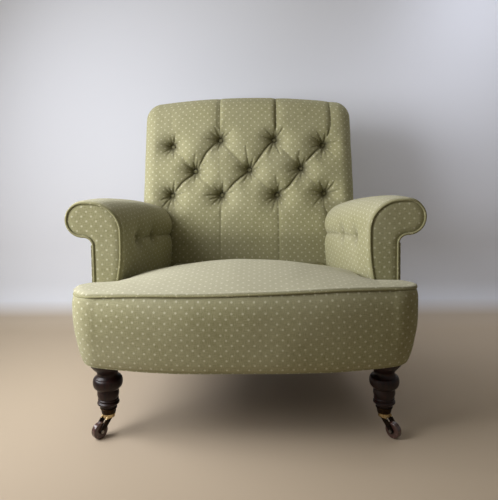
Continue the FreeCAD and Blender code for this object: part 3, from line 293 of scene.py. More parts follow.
def wood(name, dark, light, pore, grain, roughness, coat):
    """Planed or turned wood: rings a grain of millimetres apart, drawn out along the height of the
    piece, fine open pores, and a surface as smooth and as thickly polished as its finish."""
    material, tree, place = new_material(name)
    along = add(tree, "Mapping", {"Vector": place, "Scale": (1.0, 1.0, 0.09)})
    bend = add(tree, "TexNoise", {"Vector": along, "Scale": 1 / (grain * 4 * MM), "Detail": 3.0}, "Fac")
    rings = add(tree, "TexNoise", {"Vector": along, "Scale": per_mm(grain), "Detail": 5.0,
                                   "Distortion": 0.6}, "Fac")
    slow = add(tree, "Math", {0: bend, 1: 0.3}, operation="MULTIPLY")
    share = add(tree, "Math", {0: rings, 1: 0.75, 2: slow}, operation="MULTIPLY_ADD")
    share = add(tree, "MapRange", {0: share, 1: 0.38, 2: 0.68})
    fine = add(tree, "Mapping", {"Vector": place, "Scale": (1.0, 1.0, 0.03)})
    pores = add(tree, "TexNoise", {"Vector": fine, "Scale": per_mm(0.8), "Detail": 2.0}, "Fac")
    dots = add(tree, "MapRange", {0: pores, 1: 0.6, 2: 0.7})
    matt = add(tree, "MapRange", {0: bend, 1: 0.3, 2: 0.7, 3: roughness - 0.07, 4: roughness + 0.1})
    return finish_material(material, {
        "Base Color": lay_colours(tree, dark, [(light, share, 1.0), (pore, dots, 0.6)]),
        "Normal": add(tree, "Bump", {"Height": pores, "Strength": 0.25, "Distance": 0.15 * MM}),
        "Roughness": matt, "Specular IOR Level": 0.3, "Coat Weight": coat, "Coat Roughness": 0.18})


def worn_metal(name, base, rubbed_and_top_lit, roughness):
    """Drawn or stamped steel, rubbed and stained in patches."""
    material, tree, place = new_material(name)
    rubbed = add(tree, "TexNoise", {"Vector": place, "Scale": per_mm(6), "Detail": 6.0}, "Fac")
    share = add(tree, "MapRange", {0: rubbed, 1: 0.45, 2: 0.7})
    return finish_material(material, {
        "Base Color": lay_colours(tree, base, [(rubbed_and_top_lit, share, 1.0)]),
        "Normal": add(tree, "Bump", {"Height": rubbed, "Strength": 0.3, "Distance": 0.25 * MM}),
        "Metallic": 1.0, "Roughness": roughness})


def castor_metal(name, dull, low, high):
    """Cast castor fitting: dull and dark, but rubbed to bright yellow brass between two heights."""
    edge = 0.6 * MM
    material, tree, place = new_material(name)
    height = add(tree, "SeparateXYZ", {0: place}, "Z")
    above = add(tree, "MapRange", {0: height, 1: low, 2: low + edge})
    below = add(tree, "MapRange", {0: height, 1: high, 2: high - edge})
    rubbed = add(tree, "Math", {0: above, 1: below}, operation="MULTIPLY")
    tarnish = add(tree, "TexNoise", {"Vector": place, "Scale": per_mm(5), "Detail": 5.0}, "Fac")
    share = add(tree, "MapRange", {0: tarnish, 1: 0.42, 2: 0.66})
    bright = lay_colours(tree, "#d2bc8c", [("#866b42", share, 1.0)])
    tone = lay_colours(tree, dull, [("#4d3a22", share, 0.5), (bright, rubbed, 1.0)])
    rough = add(tree, "MapRange", {0: rubbed, 3: 0.5, 4: 0.27})
    return finish_material(material, {"Base Color": tone, "Roughness": rough, "Metallic": 1.0})


def brown_glaze():
    """Brown glazed stoneware of the wheels: a deep brown body under clear glass, scuffed on the
    tread."""
    material, tree, place = new_material("brown glazed stoneware")
    mottle = add(tree, "TexNoise", {"Vector": place, "Scale": per_mm(8), "Detail": 4.0}, "Fac")
    scuff = add(tree, "MapRange", {0: mottle, 1: 0.5, 2: 0.8, 3: 0.16, 4: 0.42})
    return finish_material(material, {
        "Base Color": lay_colours(tree, "#2a1b1a", [("#5d4039", mottle, 1.0)]),
        "Roughness": scuff, "IOR": 1.52, "Coat Weight": 0.6})


def plain_weave(name, thread, gap, pitch):
    """Coarse jute or hemp: flat yarns over and under one another, pitch millimetres apart."""
    material, tree, place = new_material(name)
    ribs = [add(tree, "TexWave", {"Vector": place, "Scale": per_mm(pitch) / 2.0, "Distortion": 0.8},
                "Fac", bands_direction=way) for way in ("X", "Y")]
    weave = add(tree, "Math", {0: ribs[0], 1: ribs[1]}, operation="MULTIPLY")
    return finish_material(material, {
        "Base Color": lay_colours(tree, gap, [(thread, weave, 1.0)]),
        "Normal": add(tree, "Bump", {"Height": weave, "Strength": 0.6, "Distance": 0.6 * MM}),
        "Roughness": 0.95})


COTTON = dotted_cotton()
PIPING = piping_cotton()
LINING = black_lining()
# French polished mahogany, almost black in the hollows and red where light goes through the polish.
POLISHED = wood("french polished mahogany", "#0c0404", "#280f0a", "#060202", 7.0, 0.42, 0.06)
# Plain beech of the frame: pale, pinkish, unpolished, with short dark flecks.
BEECH = wood("plain beech", "#b08f66", "#d0b086", "#8d6c47", 11.0, 0.62, 0.0)
# Cast brass cups, lacquered and gone brown, bright on one narrow ring.
CUP_BRASS = castor_metal("tarnished lacquered brass", "#2b2118", 49.0 * MM, 52.0 * MM)
# Forged horns, black all over but for the brass collar over the wheel.
HORN_METAL = castor_metal("blackened iron and brass", "#1d1a19", 42.0 * MM, 50.0 * MM)
# Bright drawn steel of the pins and springs, and tacks blued by heat.
STEEL = worn_metal("plain steel", "#8f8b86", "#5d5853", 0.38)
TACKS = worn_metal("blued tacks", "#23262e", "#4a4c52", 0.4)
STONEWARE = brown_glaze()
JUTE = plain_weave("jute webbing", "#b59a6a", "#6d5836", 2.6)
HESSIAN = plain_weave("hessian", "#a98f63", "#57462c", 2.2)


# ---------------------------------------------------------------- making pieces

def cloth_grid(columns, rows, lay):
    """A grid whose points lay() moves to their places. lay() takes shares from 0 to 1 across and
    up. It gives places, and the cloth's own flat coordinates, both in metres, to which it may add
    a share of painted shade."""
    mesh = bmesh.new()
    bmesh.ops.create_grid(mesh, x_segments=columns, y_segments=rows, size=0.5)
    layer = mesh.verts.layers.float_vector.new("flat")
    verts = list(mesh.verts)
    across = np.array([vert.co.x + 0.5 for vert in verts])
    up = np.array([vert.co.y + 0.5 for vert in verts])
    for vert, place, cloth in zip(verts, *lay(across, up)):
        vert.co = place
        vert[layer] = (cloth[0], cloth[1], cloth[2] if len(cloth) > 2 else 0.0)
    return mesh


def open_edges(mesh):
    return [edge for edge in mesh.edges if edge.is_boundary]


def pull_edges(mesh, edges, move):
    """Extrudes edges and moves the new points; move() gives the new place and the cloth's step."""
    layer = mesh.verts.layers.float_vector["flat"]
    made = bmesh.ops.extrude_edge_only(mesh, edges=edges)["geom"]
    for vert in [item for item in made if isinstance(item, bmesh.types.BMVert)]:
        vert.co, step = move(vert.co.copy())
        flat = vert[layer]
        vert[layer] = (flat[0] + step[0], flat[1] + step[1], flat[2])
    return [item for item in made if isinstance(item, bmesh.types.BMEdge)]


def write_cloth_maps(mesh, painted_top_light):
    """Writes the weave's map from the flat coordinates, and the painted light on upward faces and the
    painted shade.
    The broad rear face that closes the inside back takes its weave from where it stands."""
    layer = mesh.verts.layers.float_vector["flat"]
    weave = mesh.loops.layers.uv.new("weave")
    for face in mesh.faces:
        closing = abs(face.normal.y) > 0.93 and len(face.verts) > 4
        for loop in face.loops:
            loop[weave].uv = loop.vert.co.xz if closing else loop.vert[layer][0:2]
    shade_shares = [vert[layer][2] for vert in mesh.verts]
    mesh.verts.layers.float_vector.remove(layer)
    mesh.normal_update()
    # Painted light: cloth that faces up is made paler, as if lit from above.
    fade_and_top_light = mesh.verts.layers.float.new("painted_top_light")
    # Painted shade: the shares carried in the flat coordinates.
    shade_paint = mesh.verts.layers.float.new("painted_shade")
    for vert, share in zip(mesh.verts, shade_shares):
        vert[fade_and_top_light] = painted_top_light * min(1.0, max(0.0, vert.normal.z * 1.3 - 0.15))
        vert[shade_paint] = share


def finish_piece(mesh, name, material=COTTON, sharp=None, painted_top_light=0.0):
    """Turns the mesh outward, writes its cloth maps, and makes it a piece that rides on the root.
    The cloth that faces up is painted paler by the share painted_top_light: painted light from above."""
    bmesh.ops.remove_doubles(mesh, verts=mesh.verts[:], dist=0.00002)
    bmesh.ops.dissolve_degenerate(mesh, edges=mesh.edges[:], dist=0.000005)
    bmesh.ops.recalc_face_normals(mesh, faces=mesh.faces[:])
    if "flat" in mesh.verts.layers.float_vector.keys():
        write_cloth_maps(mesh, painted_top_light)
    if sharp is not None:
        for edge in mesh.edges:
            if len(edge.link_faces) == 2 and edge.calc_face_angle(0.0) > math.radians(sharp):
                edge.smooth = False
    piece = make_object(mesh, name, material)
    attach(piece, "root")
    return piece


def give_thickness(piece, thickness, offset=0.0):
    """Gives a sheet of cloth its thickness."""
    cloth = piece.modifiers.new("cloth", "SOLIDIFY")
    cloth.thickness = thickness
    cloth.offset = offset


def mirror_mesh(mesh):
    bmesh.ops.scale(mesh, vec=(-1.0, 1.0, 1.0), verts=mesh.verts[:])
    bmesh.ops.reverse_faces(mesh, faces=mesh.faces[:])


def smooth_step(value):
    share = np.clip(value, 0.0, 1.0)
    return share * share * (3 - 2 * share)


def near(distance, reach):
    """1 at no distance, falling evenly to 0 at reach."""
    return np.clip(1 - distance / reach, 0.0, 1.0)


def bell(distance, width):
    return np.exp(-(distance / width) ** 2)


def from_edges(across, up):
    """0 at the edges of a panel, rising to 1 at its middle."""
    return np.sin(np.clip(up, 0, 1) * math.pi) * np.sin(np.clip(across, 0, 1) * math.pi)


def unevenness(points, seed, *waves):
    """Soft uneven noise for a list of points. A wave is a size and a height in millimetres."""
    total = 0.0
    for number, (size, height) in enumerate(waves, seed):
        offset = Vector((number * 7.3, number * 3.1, number * 1.7))
        wave = np.array([noise.noise(Vector(point) / (size * MM) + offset) for point in points])
        total = total + wave * height * MM
    return total


def nearest_point(x, y, points):
    """Distance from each place to the nearest of some points."""
    best = np.full(x.shape, 9.0)
    for point in points:
        best = np.minimum(best, np.hypot(x - point[0], y - point[1]))
    return best


def line_lengths(points):
    """Distance along a polyline at each of its points."""
    steps = np.hypot(*(points[1:] - points[:-1]).T)
    return np.concatenate([[0.0], np.cumsum(steps)])


def along_line(points, shares):
    """Points at shares of the length of a polyline, and their distance along it."""
    lengths = line_lengths(points)
    wanted = np.asarray(shares) * lengths[-1]
    return np.stack([np.interp(wanted, lengths, points[:, 0]),
                     np.interp(wanted, lengths, points[:, 1])], axis=-1), wanted


def outward_of(points):
    """The direction to the left of a polyline's way at each of its points."""
    way = np.gradient(points, axis=0)
    size = np.maximum(np.hypot(way[:, 0], way[:, 1]), 1e-9)
    return np.stack([-way[:, 1] / size, way[:, 0] / size], axis=-1)


def eased(values, table_x, table_y):
    """Smooth curve through a table, without overshoot."""
    slope = np.gradient(table_y, table_x)
    index = np.clip(np.searchsorted(table_x, values) - 1, 0, len(table_x) - 2)
    x0, x1 = table_x[index], table_x[index + 1]
    width = x1 - x0
    t = np.clip((values - x0) / width, 0.0, 1.0)
    return ((2 * t ** 3 - 3 * t ** 2 + 1) * table_y[index] + (t ** 3 - 2 * t ** 2 + t) * width * slope[index]
            + (-2 * t ** 3 + 3 * t ** 2) * table_y[index + 1] + (t ** 3 - t ** 2) * width * slope[index + 1])


# ---------------------------------------------------------------- lines of the chair, as in the frame

FRONT = -405 * MM
FACING_Y = -205 * MM
ARM_FRONT = -199 * MM
BODY_HALF = 381.5 * MM
BACK_HALF = 347 * MM
FACE_LEAN = math.radians(16.8)
REAR_LEAN = math.radians(12.0)
HEM_Z = 177.5 * MM
ARM_FOOT = 267 * MM


def outer_x(y):
    """Outside of the arms, which draw in a little towards the back."""
    return BODY_HALF + (350.3 * MM - BODY_HALF) * (y - ARM_FRONT) / (534 * MM)


def inner_x(y):
    """Inside of the arms at the seat."""
    return np.maximum(245 * MM, 306 * MM - (y + 178 * MM) * 61 / 330)


def arm_share(y):
    return np.maximum(0.0, (y - ARM_FRONT) / (394 * MM))


def arm_top(y):
    return 539 * MM - 42 * MM * arm_share(y) ** 1.6


def scroll_radius(y):
    return 47 * MM - 5 * MM * arm_share(y)


def face_y(z):
    """Front of the inside back, at its highest puffs."""
    return FRONT + 580 * MM + (z - 400 * MM) * math.tan(FACE_LEAN)


def rear_y(z):
    """Outside of the back."""
    return 264.8 * MM + (z - 177 * MM) * math.tan(REAR_LEAN)


def top_drop(x, z):
    """How far the top of the back falls away towards its sides."""
    return 24 * MM * (x / BACK_HALF) ** 2 * smooth_step((z - 600 * MM) / (200 * MM))


def rounded_half(z, top, half, corner):
    """Half width of a panel at a height, drawn in at the rounded corners of its top."""
    over = np.clip(z - (top - corner), 0.0, corner)
    return half - corner + np.sqrt(np.maximum(corner ** 2 - over ** 2, 0.0))


# ---------------------------------------------------------------- tufted back

BACK_BOTTOM = 287 * MM
BACK_TOP = 830.5 * MM
BACK_CORNER = 48 * MM
BACK_ROLL = 44 * MM
TUFT_DEPTH = 36 * MM
TUFT_REACH = 80 * MM
TUFT_CURVE = 2.6
BUTTON_SINK = 13 * MM
GATHERS = 12
TOP_ROW = [(-252, 669), (-91, 686), (88, 685), (251, 669)]
MIDDLE_ROW = [(-174, 584), (5, 587), (175, 590)]
BOTTOM_ROW = [(-250, 505), (-86, 506), (95, 505), (249, 508)]
BUTTON_PLACES = [(x * MM, z * MM) for x, z in TOP_ROW + MIDDLE_ROW + BOTTOM_ROW]

# Folds of the back: points, then depth at the start, the middle and the end, and how far the cloth
# falls away above and below the fold. All in millimetres.
FOLDS = [
    ([(-250, 505), (-238, 520), (-214, 550), (-189, 570), (-174, 584)], (28, 13, 28), 58, 30),
    ([(-174, 584), (-160, 602), (-137, 646), (-108, 677), (-91, 686)], (28, 14, 28), 60, 30),
    ([(-86, 506), (-70, 518), (-44, 548), (-10, 576), (5, 587)], (28, 13, 28), 58, 30),
    ([(5, 587), (22, 606), (46, 640), (73, 674), (88, 685)], (28, 14, 28), 60, 30),
    ([(95, 505), (108, 512), (136, 540), (162, 573), (175, 590)], (28, 13, 28), 58, 30),
    ([(175, 590), (190, 612), (213, 637), (238, 661), (251, 669)], (28, 14, 28), 60, 30),
]
PLEATS_UP = [
    ([(-91, 686), (-94, 740), (-93, 790), (-93, 850)], (24, 6, 5), 40, 24),
    ([(88, 685), (93, 740), (94, 790), (94, 850)], (24, 8, 7), 22, 44),
    ([(251, 669), (268, 716), (275, 760), (274, 850)], (24, 6, 4), 24, 44),
]
# Soft valleys the other way, and the folds that run to the edges.
VALLEYS = [
    ([(-252, 669), (-214, 632), (-174, 584)], (30, 10, 30), 62, 62),
    ([(-91, 686), (-45, 640), (5, 587)], (30, 10, 30), 62, 62),
    ([(88, 685), (132, 640), (175, 590)], (30, 10, 30), 62, 62),
    ([(-174, 584), (-130, 546), (-86, 506)], (30, 9, 30), 60, 60),
    ([(5, 587), (50, 546), (95, 505)], (30, 9, 30), 60, 60),
    ([(175, 590), (212, 550), (249, 508)], (30, 9, 30), 60, 60),
    ([(-252, 669), (-310, 668), (-350, 660)], (24, 3, 1), 40, 40),
    ([(251, 669), (305, 672), (350, 668)], (24, 3, 1), 40, 40),
    ([(-250, 505), (-305, 500), (-350, 498)], (24, 3, 1), 40, 40),
    ([(249, 508), (305, 510), (350, 505)], (24, 3, 1), 40, 40),
    ([(-250, 505), (-262, 470), (-285, 430)], (24, 6, 2), 42, 42),
    ([(249, 508), (248, 470), (262, 420)], (24, 8, 2), 36, 36),
    ([(-86, 506), (-87, 440), (-87, 300)], (24, 3, 2), 44, 44),
    ([(95, 505), (97, 440), (97, 300)], (24, 3, 2), 44, 44),
    ([(-252, 669), (-252, 740), (-254, 800)], (24, 2, 1), 46, 46),
]
# Narrow creases and seams: points, depth, width.
CREASES = [
    ([(-94, 664), (-92, 579), (-85, 520)], 0.7, 3.5), ([(-84, 494), (-87, 470), (-87, 300)], 1.3, 4.0),
    ([(96, 494), (98, 470), (97, 300)], 1.5, 4.0), ([(-93, 712), (-93, 850)], 2.6, 4.0),
    ([(-100, 712), (-100, 850)], 1.5, 3.5), ([(93, 708), (94, 850)], 3.4, 4.5),
    ([(263, 700), (276, 740), (276, 790), (274, 850)], 2.4, 4.5),
    ([(-7, 668), (-2, 632), (4, 603)], 2.2, 5.0), ([(-172, 645), (-177, 616), (-176, 598)], 2.0, 6.0),
    ([(169, 650), (167, 625), (172, 604)], 2.0, 6.0), ([(90, 570), (94, 541), (98, 520)], 1.8, 5.0),
    ([(-250, 716), (-246, 700), (-250, 684)], 1.8, 5.0),
    ([(-262, 497), (-274, 476), (-282, 462)], 2.0, 5.0), ([(247, 494), (246, 470), (258, 440)], 2.4, 6.0),
]


def fold_distance(x, z, points):
    """Distance to a polyline, the share along it, and which side of it a point is on."""
    line = np.array(points, float) * MM
    lengths = line_lengths(line)
    best, share, side = np.full(x.shape, 9.0), np.zeros(x.shape), np.zeros(x.shape)
    for start, end, done in zip(line[:-1], line[1:], lengths):
        way = end - start
        size = math.hypot(*way)
        t = np.clip(((x - start[0]) * way[0] + (z - start[1]) * way[1]) / size ** 2, 0.0, 1.0)
        away_x, away_z = x - start[0] - way[0] * t, z - start[1] - way[1] * t
        distance = np.hypot(away_x, away_z)
        closer = distance < best
        best = np.where(closer, distance, best)
        share = np.where(closer, (done + size * t) / lengths[-1], share)
        side = np.where(closer, np.sign(way[0] * away_z - way[1] * away_x), side)
    return best, share, side


def button_gathers(x, z):
    """Short gathers that fan out from each button: their depth, and the painted shade along them."""
    depth, shade_paint = np.zeros(x.shape), np.zeros(x.shape)
    for number, (bx, bz) in enumerate(BUTTON_PLACES):
        around = np.hypot(x - bx, z - bz) < 75 * MM
        for ray in range(GATHERS):
            # Two uneven shares for each gather, the same in every run.
            seed = math.sin(number * 12.9 + ray * 78.2) * 43.7
            chance = seed - math.floor(seed)
            other = (chance * 7.31) % 1.0
            angle = math.tau * (ray + 0.7 * chance) / GATHERS
            length = 26 + 34 * other
            bend = 0.25 * (other - 0.5)
            points = [(bx / MM + math.cos(angle + bend * reach / length) * reach,
                       bz / MM + math.sin(angle + bend * reach / length) * reach)
                      for reach in (7.0, length * 0.5, length)]
            distance, share, _ = fold_distance(x[around], z[around], points)
            left = np.clip(1 - share, 0.0, 1.0)
            crease = bell(distance, (2.0 + 0.9 * other) * MM)
            taper = np.clip(share * 5 + 0.2, 0.0, 1.0) * left ** 0.8
            depth[around] += (5.0 + 3.4 * chance) * MM * taper * crease
            # Painted shade along each gather, fading towards its end.
            shade_paint[around] = np.maximum(shade_paint[around], 0.7 * left * crease)
    return depth, shade_paint


def tuft(x, z):
    """How far the cloth of the back lies behind its highest puffs."""
    depths = []
    for points, (start, middle, end), above, below in FOLDS + PLEATS_UP + VALLEYS:
        distance, share, side = fold_distance(x, z, points)
        depth = middle + (np.where(share < 0.5, start, end) - middle) * (1 - share * 2) ** 2
        reach = np.where(side > 0, above, below) * MM
        depths.append(depth * MM * near(distance, reach) ** TUFT_CURVE)
    for bx, bz in BUTTON_PLACES:
        distance = np.maximum(np.hypot(x - bx, z - bz) - 7 * MM, 0.0)
        depths.append(TUFT_DEPTH * near(distance, TUFT_REACH) ** TUFT_CURVE)
    # The deepest form rules, and forms that meet run into one another.
    total = (np.stack(depths) ** 5).sum(axis=0) ** 0.2
    for bx, bz in BUTTON_PLACES:
        total = total + BUTTON_SINK * bell(np.hypot(x - bx, z - bz), 10 * MM)
    # Each fold has a tight crease, and a lip of cloth that laps over it from below.
    for points, *_ in FOLDS:
        distance, share, side = fold_distance(x, z, points)
        ends = np.clip(np.minimum(share, 1 - share) * 6, 0.0, 1.0)
        total = total + 3.6 * MM * ends * bell(distance, 2.6 * MM)
        lip = np.where(side < 0, bell(distance - 7 * MM, 4 * MM), 0.0)
        total = total - 2.0 * MM * ends * lip
    for points, depth, width in CREASES:
        distance, share, _ = fold_distance(x, z, points)
        ends = np.clip(np.minimum(share, 1 - share) * 8 + 0.25, 0.0, 1.0)
        total = total + depth * MM * ends * bell(distance, width * MM * 0.6)
    return total


def back_outline(x, z):
    """Distance in from the rounded outline of the back, and the way out to it."""
    side, top = BACK_HALF - np.abs(x), BACK_TOP - z
    in_corner = (side < BACK_CORNER) & (top < BACK_CORNER)
    corner_x, corner_z = BACK_CORNER - side, BACK_CORNER - top
    reach = np.maximum(np.hypot(corner_x, corner_z), 1e-6)
    distance = np.where(in_corner, BACK_CORNER - reach, np.minimum(side, top))
    out_x = np.where(in_corner, corner_x / reach, np.where(side < top, 1.0, 0.0)) * np.sign(x)
    out_z = np.where(in_corner, corner_z / reach, np.where(side < top, 0.0, 1.0))
    return np.maximum(distance, 0.0), out_x, out_z


def rolled(length, roll, shares):
    """Distances along a flat run and then over a quarter roll, seen square on."""
    travel = shares * (length - roll + roll * math.pi / 2)
    turn = np.clip((travel - (length - roll)) / roll, 0.0, math.pi / 2)
    return np.where(travel < length - roll, travel, length - roll + roll * np.sin(turn)), travel


def back_bow(x):
    """The back stands forward a little at its middle."""
    return 22 * MM * np.abs(x / BACK_HALF) ** 2.2


def back_painted_shade(x, z, painted_shade):
    """Painted shade in the gathers, round the buttons, in the folds and creases, and on the low part
    and the lower sides of the back, where the seat and the arms shade it."""
    painted_shade = np.maximum(painted_shade, bell(nearest_point(x, z, BUTTON_PLACES), 22 * MM))
    for points, *_ in FOLDS:
        painted_shade = np.maximum(painted_shade, 0.7 * bell(fold_distance(x, z, points)[0], 4.5 * MM))
    for points, depth, _ in CREASES:
        painted_shade = np.maximum(painted_shade, 0.22 * depth * bell(fold_distance(x, z, points)[0], 2.4 * MM))
    foot = smooth_step((420 * MM - z) / (60 * MM)) * 0.5
    flank = smooth_step((np.abs(x) - 215 * MM) / (40 * MM)) * smooth_step((505 * MM - z) / (30 * MM)) * 0.6
    return np.clip(np.maximum(np.maximum(painted_shade, foot), flank), 0.0, 1.0)


def lay_back(across, up):
    side = np.sign(across - 0.5)
    spread, flat_x = rolled(BACK_HALF, BACK_ROLL, np.abs(across * 2 - 1))
    rise, flat_z = rolled(BACK_TOP - BACK_BOTTOM, BACK_ROLL, up)
    z = BACK_BOTTOM + rise
    x = spread * side * rounded_half(z, BACK_TOP, BACK_HALF, BACK_CORNER) / BACK_HALF
    distance, out_x, out_z = back_outline(x, z)
    edge = near(distance, BACK_ROLL)
    facing = np.sqrt(np.maximum(1 - edge ** 2, 0.0))
    gathers, painted_shade = button_gathers(x, z)
    depth = (tuft(x, z) + gathers) * (1 - 0.75 * edge ** 2)
    height = z - top_drop(x, z)
    y = face_y(height) + back_bow(x) + BACK_ROLL * (1 - facing) + depth * facing
    places = np.stack([x - out_x * edge * depth, y, height - out_z * edge * depth], axis=-1)
    swell = unevenness(places, 1, (70, 1.6), (28, 0.5))
    places[:, 1] += swell * facing
    places[:, 0] += swell * edge * out_x * 0.6
    # The third flat coordinate is the painted shade of the back.
    return places, np.stack([flat_x * side, flat_z / math.cos(FACE_LEAN), back_painted_shade(x, z, painted_shade)], axis=-1)


def inside_back():
    """The tufted face, with its edge carried back in three steps to the outside back and closed."""
    mesh = cloth_grid(312, 300, lay_back)
    border = open_edges(mesh)
    for share, inward in ((0.36, 0.3), (0.36, 1.6), (1.0, 4.5)):
        def rearward(place, share=share, inward=inward):
            step = max(0.0, (rear_y(place.z) - 4 * MM - place.y) * share)
            _, out_x, out_z = back_outline(np.array([place.x]), np.array([place.z]))
            away = Vector((float(out_x[0]), 0.0, float(out_z[0])))
            place.y += step
            place.x -= away.x * inward * MM * 0.5
            place.z -= away.z * inward * MM * 0.5
            return place, (away.x * step, away.z * step)
        border = pull_edges(mesh, border, rearward)
    bmesh.ops.holes_fill(mesh, edges=border, sides=0)
    piece = finish_piece(mesh, "inside_back")
    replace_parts(piece, "back_cover", "back_stuffing")


def covered_button(name, place, facing):
    """A cloth covered button: a low dome with a rounded rim, with painted shade over it, deepest round its
    edge.
    """
    radius, height = 7.4 * MM, 4.0 * MM
    mesh = bmesh.new()
    bmesh.ops.create_uvsphere(mesh, u_segments=32, v_segments=20, radius=1.0)
    layer = mesh.verts.layers.float_vector.new("flat")
    for vert in mesh.verts:
        rim = math.hypot(vert.co.x, vert.co.y)
        x, y = vert.co.x * radius, vert.co.y * radius
        # Painted shade over the whole button, deepest towards its rim.
        vert[layer] = (x + place[0] * 1.3, y + place[2], 0.35 + 0.65 * rim ** 2)
        vert.co = (x, y, max(vert.co.z, -0.5) * height * (1.0 + 0.25 * rim))
    turn = Vector((0.0, 0.0, 1.0)).rotation_difference(Vector(facing).normalized()).to_matrix().to_4x4()
    bmesh.ops.transform(mesh, matrix=Matrix.Translation(place) @ turn, verts=mesh.verts[:])
    return finish_piece(mesh, name)


def back_buttons():
    facing = (0.0, -math.cos(FACE_LEAN), math.sin(FACE_LEAN))
    for number, (x, z) in enumerate(BUTTON_PLACES, 1):
        height = z - float(top_drop(x, z))
        y = face_y(height) + float(back_bow(x)) + TUFT_DEPTH + BUTTON_SINK - 3 * MM
        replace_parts(covered_button("back_button_%02d" % number, (x, y, height), facing), "back_buttons")


# ---------------------------------------------------------------- seat, border and their piping

BOW_RADIUS = 1500 * MM
BOW_CORNER = 70 * MM
WING_SPREAD = 13.5 * MM
# Height of the seam between border and seat, from the left to the right: it isn't quite level.
SEAM_LINE = np.array([(-400, 337), (-335, 343), (-250, 348.5), (-60, 353), (80, 357), (270, 358.5),
                      (350, 354.5), (400, 347)]) * MM
# The seat's crown: share of the depth from the front, then the height at the middle, where the arms
# meet the seat, and at the outer edge, in shares of 44 mm over a level of 345 mm.
DOME = np.array([
    (-0.04, 0.0, -0.10, -0.10), (0.04, 0.28, 0.12, 0.0), (0.11, 0.50, 0.22, 0.10),
    (0.18, 0.72, 0.24, 0.18), (0.27, 0.90, 0.08, 0.05), (0.36, 0.98, -0.17, -0.25),
    (0.45, 0.80, -0.30, -0.4), (0.54, 0.52, -0.43, -0.6), (0.71, -0.04, -0.75, -0.9),
    (0.89, -0.65, -1.1, -1.25), (1.07, -1.25, -1.4, -1.5)])
# The border's swell: share up, how far in at the front and at the sides, in millimetres.
BORDER_LEVELS = np.array([
    (0.00, 19.0, 12.0), (0.03, 13.0, 7.0), (0.09, 8.0, 3.0), (0.22, 3.0, -3.0), (0.36, 0.5, -7.5),
    (0.50, -1.5, -11.5), (0.65, -2.0, -13.5), (0.82, 1.0, -14.0), (0.93, 7.0, -13.5), (1.00, 14.0, -11.0)])
LEVEL = np.array([1.0, 1.0, 0.0])


def bow_corner(half, radius, corner):
    """The corner at the end of a bowed line: its middle, its drop, and the angle where it begins."""
    reach = radius - corner
    middle = half - corner
    return middle, radius - math.sqrt(reach ** 2 - middle ** 2), math.asin(middle / reach)


def bow_line(half, inset, count, spread=0.0):
    """The bowed outline in plan, inset from the foremost point: from the facing on the left, round
    the front, to the facing on the right. Its corners stand out by spread. Gives x and y."""
    corner_x, corner_drop, touch = bow_corner(half, BOW_RADIUS, BOW_CORNER)
    depth = FACING_Y - FRONT - inset - corner_drop
    points = [(half, corner_drop + depth * share) for share in np.linspace(1.0, 0.05, 14)]
    for angle in np.linspace(0.0, math.pi / 2 - touch, 22):
        points.append((corner_x + BOW_CORNER * math.cos(angle), corner_drop - BOW_CORNER * math.sin(angle)))
    for angle in np.linspace(touch, 0.0, 40)[1:]:
        points.append((BOW_RADIUS * math.sin(angle), BOW_RADIUS - BOW_RADIUS * math.cos(angle)))
    right = np.array(points)
    left = right[::-1][1:] * np.array([-1.0, 1.0])
    line = np.concatenate([right, left])[::-1] + np.array([0.0, FRONT + inset])
    ahead = 1 - smooth_step((line[:, 1] - (FACING_Y - 85 * MM)) / (82 * MM))
    line[:, 0] *= 1 + spread / half * ahead
    return along_line(line, np.linspace(0.0, 1.0, count))[0]


def seam_z(x, y):
    """Height of the seam, which also sinks where it runs back to the arms."""
    sink = 21 * MM * smooth_step((y - (FACING_Y - 100 * MM)) / (95 * MM))
    return eased(x, SEAM_LINE[:, 0], SEAM_LINE[:, 1]) - sink


def seat_height(x, y):
    arm_x, wing = 311 * MM, 89 * MM
    share = (y - FRONT) / (560 * MM)
    middle, beside, edge = (eased(share, DOME[:, 0], DOME[:, column]) for column in (1, 2, 3))
    reach = np.abs(x) / arm_x
    inner = middle + (beside - middle) * reach ** 2
    outer = beside + (edge - beside) * (np.abs(x) - arm_x) / wing
    return 345 * MM + 44 * MM * np.where(reach < 1, inner, outer)


